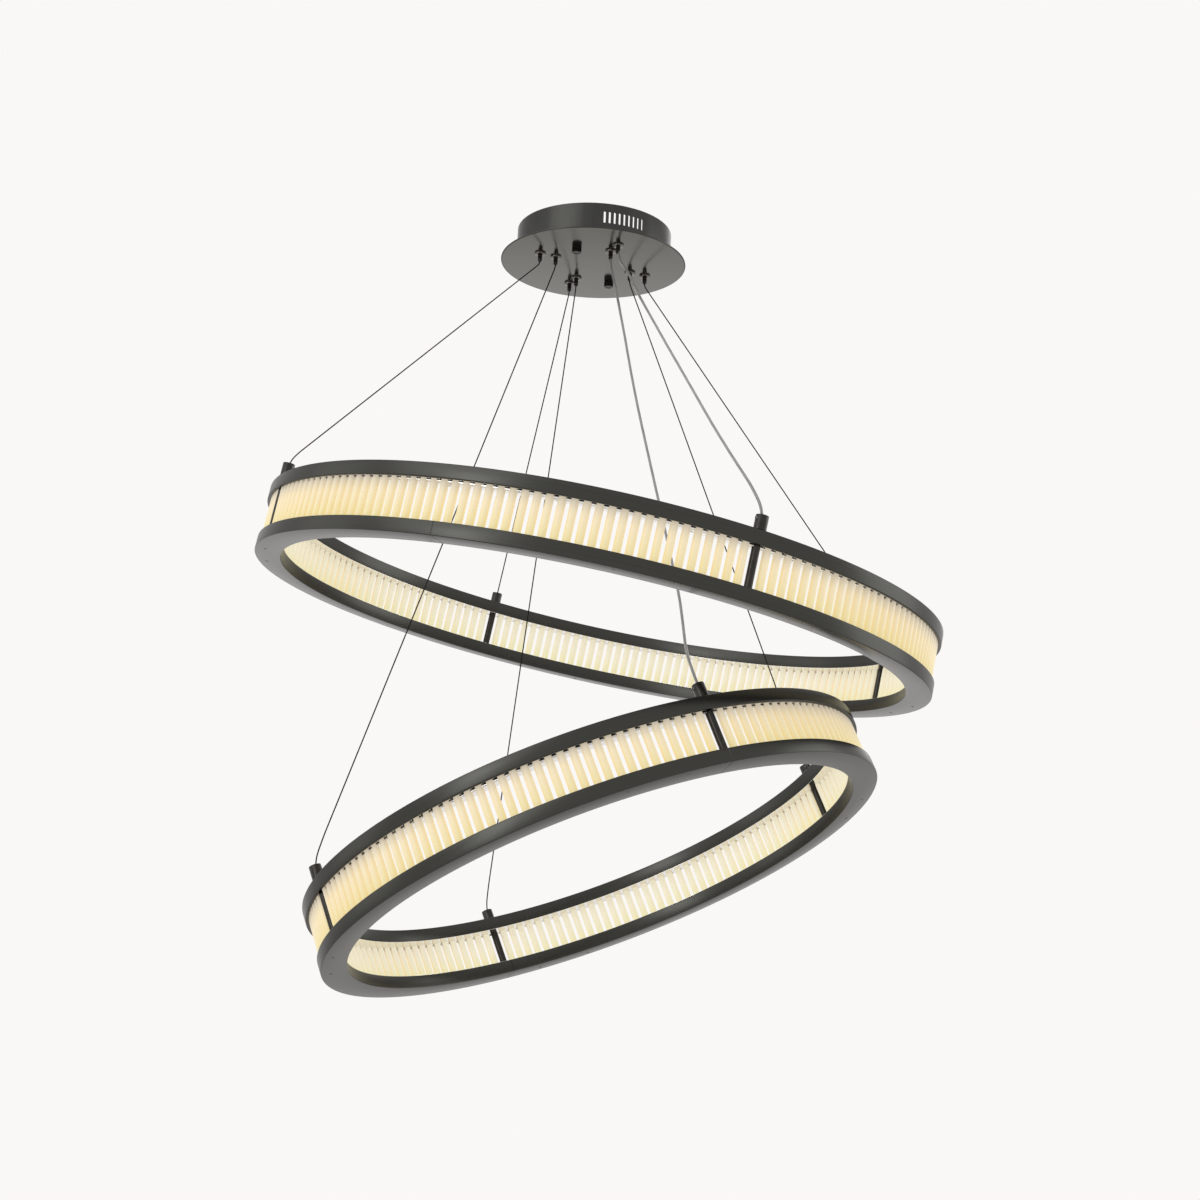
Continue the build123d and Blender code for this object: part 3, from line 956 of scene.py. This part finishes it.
def rod_tree():
    """Geometry nodes for a ring of upright rods, with a free place at each post."""
    start, given = new_tree(
        "light_rods",
        (
            ("Rods per quarter", "NodeSocketInt"),
            ("Quarters", "NodeSocketInt"),
            ("Rod radius", "NodeSocketFloat"),
            ("Rod length", "NodeSocketFloat"),
            ("End bevel", "NodeSocketFloat"),
        ),
    )
    spaces = given.out("Rods per quarter") + 1
    count = spaces * given.out("Quarters")
    index = start.node("GeometryNodeInputIndex")
    spots = ring_spots(start, given, count, given.out("First angle") + index / count * math.tau)
    at_post = start.node(
        "FunctionNodeCompare",
        {"data_type": "FLOAT", "operation": "LESS_THAN"},
        {"A": index % spaces, "B": 0.5},
    )
    spots = start.node(
        "GeometryNodeDeleteGeometry",
        {"domain": "POINT"},
        {"Geometry": spots, "Selection": at_post},
    )

    radius, depth = given.out("Rod radius"), given.out("Rod length")
    bevel = given.out("End bevel")
    rod = start.node(
        "GeometryNodeMeshCylinder",
        {"fill_type": "NGON"},
        {"Vertices": SIDES["rod"], "Side Segments": 3, "Radius": radius, "Depth": depth},
    )
    here = position(start)
    height = here.out("Z")
    at_end = start.maths("GREATER_THAN", start.maths("ABSOLUTE", height) / depth, 0.4)
    narrow = 1 - at_end * (bevel / radius)
    level = start.maths("SIGN", height) * (depth / 2 - (1 - at_end) * bevel)
    bevelled = start.node(
        "ShaderNodeCombineXYZ",
        {},
        {"X": here.out("X") * narrow, "Y": here.out("Y") * narrow, "Z": level},
    )
    rod = start.node("GeometryNodeSetPosition", {}, {"Geometry": rod, "Position": bevelled})
    rod = start.node("GeometryNodeSetShadeSmooth", {}, {"Geometry": rod, "Shade Smooth": True})
    for name, value in (("rise", height / depth + 0.5), ("outward", here.out("X") / radius)):
        rod = start.node(
            "GeometryNodeStoreNamedAttribute",
            {"data_type": "FLOAT", "domain": "POINT"},
            {"Geometry": rod, "Name": name, "Value": value},
        )
    return set_round(start, given, spots, rod)


def ring_inputs(ring, radius, first_angle, finish):
    """What both trees are given for a ring."""
    return {
        "Ring radius": radius,
        "First angle": first_angle,
        "Centre": RING_CENTRE[ring],
        "Tilt": Vector(ring_frame(ring).to_euler()),
        "Finish": finish,
    }


def grown(name, tree, inputs):
    """The plain mesh that a geometry node tree makes from its inputs."""
    made = new_object(name, bpy.data.meshes.new(name))
    modifier = made.modifiers.new(tree.name, "NODES")
    modifier.node_group = tree
    for item in tree.interface.items_tree:
        if item.in_out == "INPUT":
            modifier[item.identifier] = inputs[item.name]
    mesh = settled(made)
    if not mesh.polygons:
        raise RuntimeError(f"{name} came out empty")
    return mesh


class CHANDELIER_OT_light_rods(PieceOperator, bpy.types.Operator):
    """Stands the frosted light rods of both rings in their grooves"""

    bl_idname = "chandelier.light_rods"
    bl_label = "Light rods"

    def execute(self, context):
        sizes, finish = self.values(context)
        frosted = frosted_rod(finish)
        tree = rod_tree()
        for ring, per_quarter in (("upper", sizes.upper_rods), ("lower", sizes.lower_rods)):
            radius = ring_radius(sizes, ring) - sizes.rod_inset
            inputs = {
                **ring_inputs(ring, radius, POST_ANGLE, frosted),
                "Rods per quarter": per_quarter,
                "Quarters": QUARTERS,
                "Rod radius": sizes.rod_diameter / 2,
                "Rod length": sizes.rod_show + 2 * sizes.rod_seat,
                "End bevel": ROD_BEVEL,
            }
            mesh = grown(f"{ring}_rods", tree, inputs)
            place_piece(f"{ring}_rods", mesh, f"{ring}_ring", "rod_acrylic", f"{ring}_light_rods")
        return {"FINISHED"}


def channel_outline(sizes, ring, upward):
    """A channel's cross-section as radius and height, with its groove towards the rods."""
    outer = ring_radius(sizes, ring)
    inner = outer - sizes.profile_width
    mouth = sizes.rod_show / 2
    far = mouth + sizes.channel_height
    depth = sizes.rod_seat + (0.0 if upward else sizes.strip_height)
    middle, half = outer - sizes.rod_inset, sizes.groove_width / 2
    corners = [
        (outer, mouth), (outer, far), (inner, far), (inner, mouth),
        (middle - half, mouth), (middle - half, mouth + depth),
        (middle + half, mouth + depth), (middle + half, mouth),
    ]
    outline = eased(corners, [sizes.edge_radius] * 4 + [GROOVE_EASE, 0, 0, GROOVE_EASE])
    return [(point.x, point.y if upward else -point.y) for point in outline]


class CHANDELIER_OT_ring_channels(PieceOperator, bpy.types.Operator):
    """Bends the brushed channels of both rings"""

    bl_idname = "chandelier.ring_channels"
    bl_label = "Ring channels"

    def execute(self, context):
        sizes, finish = self.values(context)
        colour = finish.ring_colour
        brushed = brushed_metal(
            "brushed_ring", colour, finish.ring_roughness, RING_BRUSH, edge=0.7
        )
        smooth = brushed_metal(
            "smooth_underside", colour, finish.cover_roughness, RING_BRUSH, edge=0.84
        )
        for ring in RINGS:
            place = ring_frame(ring)
            turn_back = place.to_3x3().inverted()
            for side, seam in SEAM_ANGLES[ring].items():
                outline = channel_outline(sizes, ring, side == "top")
                shape = bent(outline, place, (seam, (seam + math.pi) % math.tau))
                node = f"{ring}_{side}_channel"
                mesh = shape_mesh(node, shape, brushed)
                if side == "bottom":
                    refinish(mesh, smooth, lambda face: (turn_back @ face.normal).z < -0.9)
                place_piece(f"{ring}_{side}_profile", mesh, f"{ring}_ring", "ring_metal", node)
        return {"FINISHED"}


class CHANDELIER_OT_strips(PieceOperator, bpy.types.Operator):
    """Lines the channels' faces with polished strips, in which the rods mirror"""

    bl_idname = "chandelier.strips"
    bl_label = "Strips"

    def execute(self, context):
        sizes, finish = self.values(context)
        polished = brushed_metal(
            "polished_strip", finish.strip_colour, 0.1, STRIP_BRUSH, contrast=0.03
        )
        mouth, thin = sizes.rod_show / 2, STRIP_THICKNESS
        for ring in RINGS:
            rods = ring_radius(sizes, ring) - sizes.rod_inset
            inner = ring_radius(sizes, ring) - sizes.profile_width + sizes.edge_radius
            edge, ledge = rods + STRIP_LIP, rods - sizes.groove_width / 2 - STRIP_SETBACK
            top = (
                (edge, mouth - STRIP_DROP), (edge, mouth), (inner, mouth),
                (inner, mouth - thin), (rods - thin, mouth - thin),
            )
            bottom = (
                (ledge, -mouth), (ledge, thin - mouth), (inner, thin - mouth), (inner, -mouth),
            )
            for name, corners in (("top_strip", top), ("bottom_strip", bottom)):
                shape = bent(eased(corners, STRIP_EASE, 1), ring_frame(ring))
                shape_piece(f"{ring}_{name}", shape, polished, f"{ring}_ring", "ring_metal")
        return {"FINISHED"}


class CHANDELIER_OT_ring_posts(PieceOperator, bpy.types.Operator):
    """Turns the posts between the channels and the bosses on top of them"""

    bl_idname = "chandelier.ring_posts"
    bl_label = "Ring posts and bosses"

    def execute(self, context):
        sizes, finish = self.values(context)
        black = blackened_metal("blackened_post", finish.fitting_colour, roughness=0.3)
        bright = blackened_metal("set_screw_steel", SET_SCREW_STEEL, roughness=0.22)
        half = sizes.rod_show / 2
        seat, post = sizes.groove_width / 2 - CLEAR_FIT, sizes.post_diameter / 2
        foot, head = -half - sizes.rod_seat - sizes.strip_height, half + sizes.rod_seat
        boss, low = sizes.boss_diameter / 2, half + sizes.channel_height
        top = low + sizes.boss_height
        post_profile = [
            *near((seat, foot), (-0.5, 0), (0, 0.5)),
            *near((seat, -half), (0, 0.4)),
            *near((post, -half), (-0.2, 0.4), (0, 0.6)),
            *near((post, half), (0, -0.6), (-0.2, -0.4)),
            *near((seat, half), (0, -0.4)),
            *near((seat, head), (0, -0.5), (-0.5, 0)),
        ]
        boss_profile = [
            *near((boss, top), (-0.8, 0), (-0.25, -0.2), (0, -0.8)),
            *near((boss, low), (0, 0.9), (-0.4, 0.6), (-0.4, 0)),
        ]
        screw_profile = near(
            ORIGIN, (1.9, -1.5), (1.9, 0.3), (1.75, 0.55), (1.4, 0.7), (1.0, 0.7), (0.9, -0.5)
        )
        sideways = Matrix.Rotation(math.radians(90), 4, "Y")
        seat_step = Matrix.Translation((boss, 0, low + sizes.boss_height * SET_SCREW_HEIGHT))
        for ring in RINGS:
            posts, bosses, screws = Shape(), Shape(), Shape()
            for quarter in range(QUARTERS):
                place = post_place(sizes, ring, quarter)
                line = sizes.cord_diameter if quarter == CORD_QUARTER else sizes.wire_diameter
                hole = line / 2 + CLEAR_FIT
                bore = [(hole, top - BORE_DEPTH), *near((hole, top), (0, -0.4), (0.4, 0))]
                turn = Matrix.Rotation(math.radians(SET_SCREW_TURN[ring][quarter]), 4, "Z")
                posts.turned(post_profile, SIDES["post"], place)
                bosses.turned(bore + boss_profile, SIDES["boss"], place)
                screws.turned(screw_profile, SIDES["screw"], place @ turn @ seat_step @ sideways)
            for name, shape, metal, nodes in (
                ("post_set", posts, black, [f"{ring}_posts"]),
                ("boss_set", bosses, black, [f"{ring}_bosses"]),
                ("set_screws", screws, bright, []),
            ):
                body = f"{ring}_ring"
                shape_piece(f"{ring}_{name}", shape, metal, body, "fitting_metal", *nodes)
        return {"FINISHED"}


def vent_cutter(sizes):
    """The round-ended slots that are cut through the drum."""
    half, straight = sizes.vent_width / 2, (sizes.vent_length - sizes.vent_width) / 2
    slot = []
    for k in range(SIDES["vent"]):
        angle = math.tau * (k + 0.5) / SIDES["vent"]
        rise = straight if math.sin(angle) > 0 else -straight
        slot.append((half * math.cos(angle), half * math.sin(angle) + rise))
    shape = Shape()
    for i in range(VENT_COUNT):
        turn = Matrix.Rotation(VENT_FIRST + i * VENT_STEP, 4, "Z")
        place = turn @ Matrix.Translation((DRUM_RADIUS, 0, VENT_HEIGHT))
        shape.skin([[(depth, y, z) for y, z in slot] for depth in (-VENT_CUT, VENT_CUT)], place)
    return shape


class CHANDELIER_OT_canopy(PieceOperator, bpy.types.Operator):
    """Makes the canopy drum with its vents and the plate below it"""

    bl_idname = "chandelier.canopy"
    bl_label = "Canopy"

    def execute(self, context):
        sizes, finish = self.values(context)
        drum_metal = brushed_metal(
            "brushed_drum", finish.drum_colour, 0.3, DRUM_BRUSH, contrast=0.3, edge=0.72
        )
        plate_metal = brushed_metal(
            "polished_plate", finish.plate_colour, 0.17, PLATE_BRUSH, contrast=0.08
        )

        outer, inner = DRUM_RADIUS, DRUM_RADIUS - DRUM_WALL
        corners = ((inner, PLATE_TOP), (outer, PLATE_TOP), (outer, 0.0), (inner, 0.0))
        wall = bent(eased(corners, [0, 0, DRUM_EASE, 0]), Matrix(), steps=SIDES["drum"])
        drum = new_object("drum", shape_mesh("drum", wall, drum_metal))
        cutter = new_object("vents", shape_mesh("vents", vent_cutter(sizes), drum_metal))
        cut = drum.modifiers.new("vents", "BOOLEAN")
        cut.operation, cut.solver, cut.object = "DIFFERENCE", "EXACT", cutter
        drum_mesh = settled(drum)
        bpy.data.objects.remove(cutter)
        finish_mesh(drum_mesh)
        place_piece("drum_shell", drum_mesh, "canopy", "canopy_metal", "canopy_drum")

        profile = [
            *near((PLATE_RADIUS, PLATE_LOW), (-1.2, 0), (-0.45, 0.06), (-0.12, 0.25), (0, 0.6)),
            *near((PLATE_RADIUS, PLATE_TOP), (0, -0.45), (-0.45, 0)),
        ]
        disc = Shape().turned(profile, SIDES["plate"])
        plate_mesh = shape_mesh("plate_disc", disc, plate_metal)
        refinish(plate_mesh, drum_metal, lambda face: face.center.z > PLATE_LOW + 0.01 * MM)
        place_piece("plate_disc", plate_mesh, "canopy", "canopy_metal", "canopy_plate")
        return {"FINISHED"}


def fluted_nut(radius, place):
    """A canopy nut with fine flutes round its grip and a bore for the stud."""
    levels = [
        *near((radius, 0.0, PLATE_LOW), (-0.9, 0, 0), (-0.3, 0, -0.3), (0, 0.45, -0.9)),
        *near((radius, 0.0, NUT_LOW), (0, 0.45, 1.7), (-0.1, 0, 1.4), (-0.1, 0, 0.6), (-0.7, 0, 0)),
        *near((0.0, 0.0, NUT_LOW), (3.2, 0, 0), (2.9, 0, 0.4)),
    ]
    count = 4 * NUT_FLUTES
    sections = []
    for size, flute, z in levels:
        section = []
        for i in range(count):
            angle = math.tau * i / count
            r = size - flute * (0.5 - 0.5 * math.cos(angle * NUT_FLUTES))
            section.append((r * math.cos(angle), r * math.sin(angle), z))
        sections.append(section)
    return Shape().skin(sections, place)


class CHANDELIER_OT_fittings(PieceOperator, bpy.types.Operator):
    """Turns the canopy nuts, the cable grippers with their nozzles and the cord glands"""

    bl_idname = "chandelier.fittings"
    bl_label = "Nuts, grippers and glands"

    def execute(self, context):
        sizes, finish = self.values(context)
        black = blackened_metal("blackened_fitting", finish.fitting_colour, roughness=0.24)
        # A lighter, glossier copy of the fitting metal: a painted highlight on the flanges and
        # collars.
        wear_and_sheen = blackened_metal(
            "flange_sheen", toned(finish.fitting_colour, 3.6), roughness=0.18
        )
        for side in ("front", "back"):
            name = f"canopy_nut_{side}"
            low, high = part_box(name)
            place = Matrix.Translation(((low.x + high.x) / 2, (low.y + high.y) / 2, 0))
            nut = fluted_nut(sizes.nut_diameter / 2, place)
            shape_piece(f"nut_{side}", nut, black, name, "fitting_metal", name)

        flange, nozzle = sizes.flange_diameter / 2, sizes.nozzle_diameter / 2
        throat, nozzle_top = nozzle + CLOSE_FIT, NOZZLE_TIP + NOZZLE_LENGTH
        wire_bore = sizes.wire_diameter / 2 + CLOSE_FIT
        cord_bore = sizes.cord_diameter / 2 + CLOSE_FIT
        collar = [
            *near((flange, FLANGE_LOW), (-0.5, 0), (-0.12, 0.2), (0, 0.5)),
            *near((flange, PLATE_LOW), (0, -0.25), (-0.25, 0)),
            (SHANK_RADIUS, PLATE_LOW),
            *near((SHANK_RADIUS, SHANK_TOP), (0, -0.4), (-0.4, 0)),
        ]
        tip = near(
            (nozzle, NOZZLE_TIP),
            (-0.8, 0), (-0.35, 0.5), (-0.15, 3.4), (-0.4, 3.6), (-0.4, 4.2), (0, 4.4),
        )
        body_profile = [
            (throat, SHANK_TOP), *near((throat, FLANGE_LOW), (0, 0.3), (0.3, 0)), *collar,
        ]
        plunger_profile = [
            (wire_bore, nozzle_top), *near((wire_bore, NOZZLE_TIP), (0, 0.3), (0.3, 0)),
            *tip, (nozzle, nozzle_top),
        ]
        gland_profile = [
            (cord_bore, SHANK_TOP), *near((cord_bore, NOZZLE_TIP), (0, 0.3)),
            *tip, (nozzle, FLANGE_LOW), *collar,
        ]
        bodies, glands = Shape(), Shape()
        for ring in RINGS:
            for side, quarter in WIRE_QUARTERS.items():
                place = Matrix.Translation(outlet(ring, quarter, 0))
                bodies.turned(body_profile, SIDES["outlet"], place, loop=True)
                plunger = Shape().turned(plunger_profile, SIDES["nozzle"], place, loop=True)
                name = f"{ring}_plunger_{side}"
                shape_piece(f"{ring}_nozzle_{side}", plunger, black, name, "fitting_metal", name)
            place = Matrix.Translation(outlet(ring, CORD_QUARTER, 0))
            glands.turned(gland_profile, SIDES["outlet"], place, loop=True)
        # The gripper bodies take the painted highlight.
        shape_piece(
            "gripper_bodies", bodies, wear_and_sheen, "canopy", "fitting_metal", "cable_gripper_bodies"
        )
        gland_mesh = shape_mesh("gland_bodies", glands, black)
        # The gland's flange and collar take the painted highlight.
        refinish(gland_mesh, wear_and_sheen, lambda face: face.center.z > FLANGE_LOW - 0.05 * MM)
        place_piece("gland_bodies", gland_mesh, "canopy", "fitting_metal", "cord_glands")
        return {"FINISHED"}


class CHANDELIER_OT_fasteners(PieceOperator, bpy.types.Operator):
    """Sets the screws under the bottom channels and the locknuts on the outlets' shanks"""

    bl_idname = "chandelier.fasteners"
    bl_label = "Screws and locknuts"

    def execute(self, context):
        sizes, finish = self.values(context)
        black = blackened_metal("blackened_screw", finish.fitting_colour, roughness=0.28)
        zinc = zinc_plate("zinc_locknut", LOCKNUT_ZINC)
        head = Shape().turned(
            near(ORIGIN, (2.3, 0.5), (2.3, 0), (2.1, -0.15), (1.2, -0.15), (1.05, 0), (0.95, 0.4)),
            SIDES["screw"],
        )
        hexagon = Shape().turned(
            near(ORIGIN, (6.2, 0), (6.9, 0.4), (6.9, 3.1), (6.2, 3.5), (4.6, 3.5), (4.6, 0)),
            SIDES["locknut"], loop=True,
        )
        tree = fastener_tree()
        for ring in RINGS:
            radius = ring_radius(sizes, ring) - UNDERSIDE_SCREW_INSET
            screws = {
                **ring_inputs(ring, radius, POST_ANGLE - UNDERSIDE_SCREW_LEAD, black),
                "Shape": new_object("screw", shape_mesh("screw", head, black)),
                "Groups": QUARTERS,
                "Per group": 2,
                "Spacing": UNDERSIDE_SCREW_SPACING,
                "Height": -sizes.rod_show / 2 - sizes.channel_height,
            }
            nuts = {
                **screws,
                **ring_inputs(ring, OUTLET_RADIUS[ring], OUTLET_ANGLE, zinc),
                "Centre": Vector(),
                "Tilt": Vector(),
                "Shape": new_object("locknut", shape_mesh("locknut", hexagon, zinc)),
                "Per group": 1,
                "Height": PLATE_TOP,
            }
            for name, inputs, body, slot in (
                (f"{ring}_underside_screws", screws, f"{ring}_ring", "fitting_metal"),
                (f"{ring}_locknuts", nuts, "canopy", "zinc_steel"),
            ):
                mesh = grown(name, tree, inputs)
                bpy.data.objects.remove(inputs["Shape"])
                finish_mesh(mesh)
                place_piece(name, mesh, body, slot)
        return {"FINISHED"}


def driver_case(turn):
    """The driver's case, with a joint line round it and low ribs on top."""
    low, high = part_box("led_driver")
    place, half = Matrix.Translation((low + high) / 2) @ turn, (high.z - low.z) / 2
    levels = [
        *near((0.0, -half), (0.6, 0), (0, 0.6)),
        *near(ORIGIN, (0, 3), (0.4, 3.4), (0.4, 4.2), (0, 4.6)),
        *near((0.0, half), (0, -1.4), (1.0, -0.6)),
    ]
    sections = []
    for inset, z in levels:
        x, y = (size / 2 - inset for size in DRIVER_SIZE)
        corners = ((x, -y), (x, y), (-x, y), (-x, -y))
        sections.append([(*point, z) for point in eased(corners, DRIVER_EASE, 1)])
    case = Shape().skin(sections, place)
    for i in range(DRIVER_RIBS):
        middle = (0.0, (i - DRIVER_RIBS // 2) * DRIVER_RIB_SPACING, half)
        case.skin(
            [
                near(middle, (-15, -r, z), (15, -r, z), (15, r, z), (-15, r, z))
                for r, z in ((1.6, -0.8), (1.2, 0.0))
            ],
            place,
        )
    return case


def threaded_studs(turn):
    """The two studs with the turns of their thread."""
    low, high = (corner.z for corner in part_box("canopy_studs"))
    thread = near((STUD_RADIUS, low), (-0.6, 0))
    for i in range(int((high - low) / THREAD_PITCH)):
        thread += near((STUD_RADIUS, low + (i + 0.5) * THREAD_PITCH), (-0.3, -0.2), (0, 0))
    thread += near((STUD_RADIUS, high), (-0.3, 0))
    studs = Shape()
    for side in (-1, 1):
        place = turn @ Matrix.Translation((side * STUD_SPACING / 2, 0, 0))
        studs.turned(thread, SIDES["stud"], place)
    return studs


def terminal_screws(turn):
    """The three screws down in the terminal block."""
    low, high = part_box("terminal_block")
    place = Matrix.Translation(((low.x + high.x) / 2, (low.y + high.y) / 2, high.z)) @ turn
    profile = near(ORIGIN, (2.1, -4.2), (2.1, -2.6), (1.8, -2.3), (0.9, -2.3), (0.8, -3.0))
    screws = Shape()
    for i in (-1, 0, 1):
        step = Matrix.Translation((i * TERMINAL_LENGTH / 3, 0, 0))
        screws.turned(profile, SIDES["screw"], place @ step)
    return screws


class CHANDELIER_OT_fixings(PieceOperator, bpy.types.Operator):
    """Finishes the bracket, studs, driver, terminal and light strips"""

    bl_idname = "chandelier.fixings"
    bl_label = "Fixings and electrics"

    def execute(self, context):
        zinc = zinc_plate("zinc_steel_plate", BRACKET_ZINC)
        brass = blackened_metal("terminal_brass", TERMINAL_BRASS, roughness=0.3)
        plastic = moulded_plastic("driver_plastic", DRIVER_PLASTIC, roughness=0.5)
        turn = Matrix.Rotation(BRACKET_ANGLE, 4, "Z")
        for name, shape, finish, slot, nodes in (
            ("driver_case", driver_case(turn), plastic, "driver_case", ["led_driver"]),
            ("threaded_studs", threaded_studs(turn), zinc, "zinc_steel", ["canopy_studs"]),
            ("terminal_screws", terminal_screws(turn), brass, "terminal_plastic", []),
        ):
            shape_piece(name, shape, finish, "canopy", slot, *nodes)
        finishes = {
            "ceiling_bracket": zinc,
            "terminal_block": moulded_plastic("terminal_body", TERMINAL_PLASTIC, roughness=0.45),
            "upper_led_strips": light_strip("upper_light_strip"),
            "lower_led_strips": light_strip("lower_light_strip"),
        }
        for name, finish in finishes.items():
            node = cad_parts[name]
            node.data.materials.clear()
            node.data.materials.append(finish)
        return {"FINISHED"}


def photo_camera():
    """The camera at the photograph's place and angle."""
    flat = math.cos(CAMERA_PITCH)
    ahead = Vector(
        (math.sin(CAMERA_YAW) * flat, math.cos(CAMERA_YAW) * flat, math.sin(CAMERA_PITCH))
    )
    level = Vector((math.cos(CAMERA_YAW), -math.sin(CAMERA_YAW), 0.0))
    above = level.cross(ahead)
    right = level * math.cos(CAMERA_ROLL) + above * math.sin(CAMERA_ROLL)
    up = above * math.cos(CAMERA_ROLL) - level * math.sin(CAMERA_ROLL)
    lens = bpy.data.cameras.new("camera")
    lens.sensor_width = SENSOR_WIDTH
    lens.lens = FOCAL_PIXELS / PICTURE_PIXELS * SENSOR_WIDTH
    lens.clip_start, lens.clip_end = CAMERA_CLIP
    camera = new_object("camera", lens)
    turn = Matrix((right, up, -ahead)).transposed().to_4x4()
    camera.matrix_world = Matrix.Translation(CAMERA_PLACE) @ turn
    return camera


def hang_lamps():
    """The soft lamps round the chandelier."""
    for name, (spot, size, watts) in LAMPS.items():
        lamp = bpy.data.lights.new(name, "AREA")
        lamp.shape, lamp.size, lamp.size_y, lamp.energy = "RECTANGLE", *size, watts
        turn = (LAMP_AIM - Vector(spot)).to_track_quat("-Z", "Y").to_matrix().to_4x4()
        new_object(name, lamp).matrix_world = Matrix.Translation(spot) @ turn


def studio_world(colour):
    """The pale background, which gives a little less light than the camera and metal see."""
    world = bpy.data.worlds.new("studio")
    world.use_nodes = True
    world.node_tree.nodes.clear()
    shade = Signal(world.node_tree)
    ray = shade.node("ShaderNodeLightPath")
    mirrored = shade.maths("MAXIMUM", ray.out("Is Glossy Ray"), ray.out("Is Transmission Ray"))
    seen = shade.maths("MAXIMUM", ray.out("Is Camera Ray"), mirrored)
    sockets = {"Color": (*colour, 1.0), "Strength": AMBIENT + seen * (1 - AMBIENT)}
    sky = shade.node("ShaderNodeBackground", {}, sockets)
    shade.node("ShaderNodeOutputWorld", {}, {"Surface": sky})
    return world


def pale_floor():
    """The floor below the chandelier."""
    pale, shade = new_finish("pale_floor")
    cloud = noise(shade, coordinates(shade, "Object"), scale=1.5, detail=3.0)
    colour = blend_colours(shade, cloud, (0.86, 0.855, 0.845), (0.9, 0.895, 0.885))
    surface(shade, {"Base Color": colour, "Roughness": 0.7})
    square = ((-1, -1), (1, -1), (1, 1), (-1, 1))
    corners = [(x * FLOOR_REACH, y * FLOOR_REACH, FLOOR_HEIGHT) for x, y in square]
    mesh = bpy.data.meshes.new("floor")
    mesh.from_pydata(corners, [], [(0, 1, 2, 3)])
    mesh.materials.append(pale)
    return new_object("floor", mesh)


class CHANDELIER_OT_stage(PieceOperator, bpy.types.Operator):
    """Sets up the camera, the soft light, the pale floor and the background"""

    bl_idname = "chandelier.stage"
    bl_label = "Stage"

    def execute(self, context):
        _, finish = self.values(context)
        scene = context.scene
        scene.view_settings.view_transform = "Standard"
        scene.camera = photo_camera()
        hang_lamps()
        scene.world = studio_world(finish.background)
        pale_floor()
        return {"FINISHED"}


OPERATORS = (
    CHANDELIER_OT_stage,
    CHANDELIER_OT_power_cords,
    CHANDELIER_OT_hanging_wires,
    CHANDELIER_OT_light_rods,
    CHANDELIER_OT_ring_channels,
    CHANDELIER_OT_strips,
    CHANDELIER_OT_ring_posts,
    CHANDELIER_OT_canopy,
    CHANDELIER_OT_fittings,
    CHANDELIER_OT_fasteners,
    CHANDELIER_OT_fixings,
)


class CHANDELIER_PT_panel(bpy.types.Panel):
    """The chandelier's sizes, finishes and pieces"""

    bl_idname = "CHANDELIER_PT_panel"
    bl_label = "Ring chandelier"
    bl_space_type = "VIEW_3D"
    bl_region_type = "UI"
    bl_category = "Chandelier"

    def draw(self, context):
        layout = self.layout
        for group in (context.scene.chandelier_sizes, context.scene.chandelier_finish):
            box = layout.box()
            for name in group.__annotations__:
                box.prop(group, name)
        for operator in OPERATORS:
            layout.operator(operator.bl_idname)


CLASSES = (ChandelierSizes, ChandelierFinish, *OPERATORS, CHANDELIER_PT_panel)


def register():
    """Adds the classes and the scene's two groups of values."""
    for made in CLASSES:
        bpy.utils.register_class(made)
    bpy.types.Scene.chandelier_sizes = bpy.props.PointerProperty(type=ChandelierSizes)
    bpy.types.Scene.chandelier_finish = bpy.props.PointerProperty(type=ChandelierFinish)


def unregister():
    """Takes away what register added."""
    del bpy.types.Scene.chandelier_finish
    del bpy.types.Scene.chandelier_sizes
    for made in reversed(CLASSES):
        bpy.utils.unregister_class(made)


def main():
    """Makes every piece in order."""
    register()
    for operator in OPERATORS:
        group, name = operator.bl_idname.split(".")
        getattr(getattr(bpy.ops, group), name)()


if __name__ == "__main__":
    main()
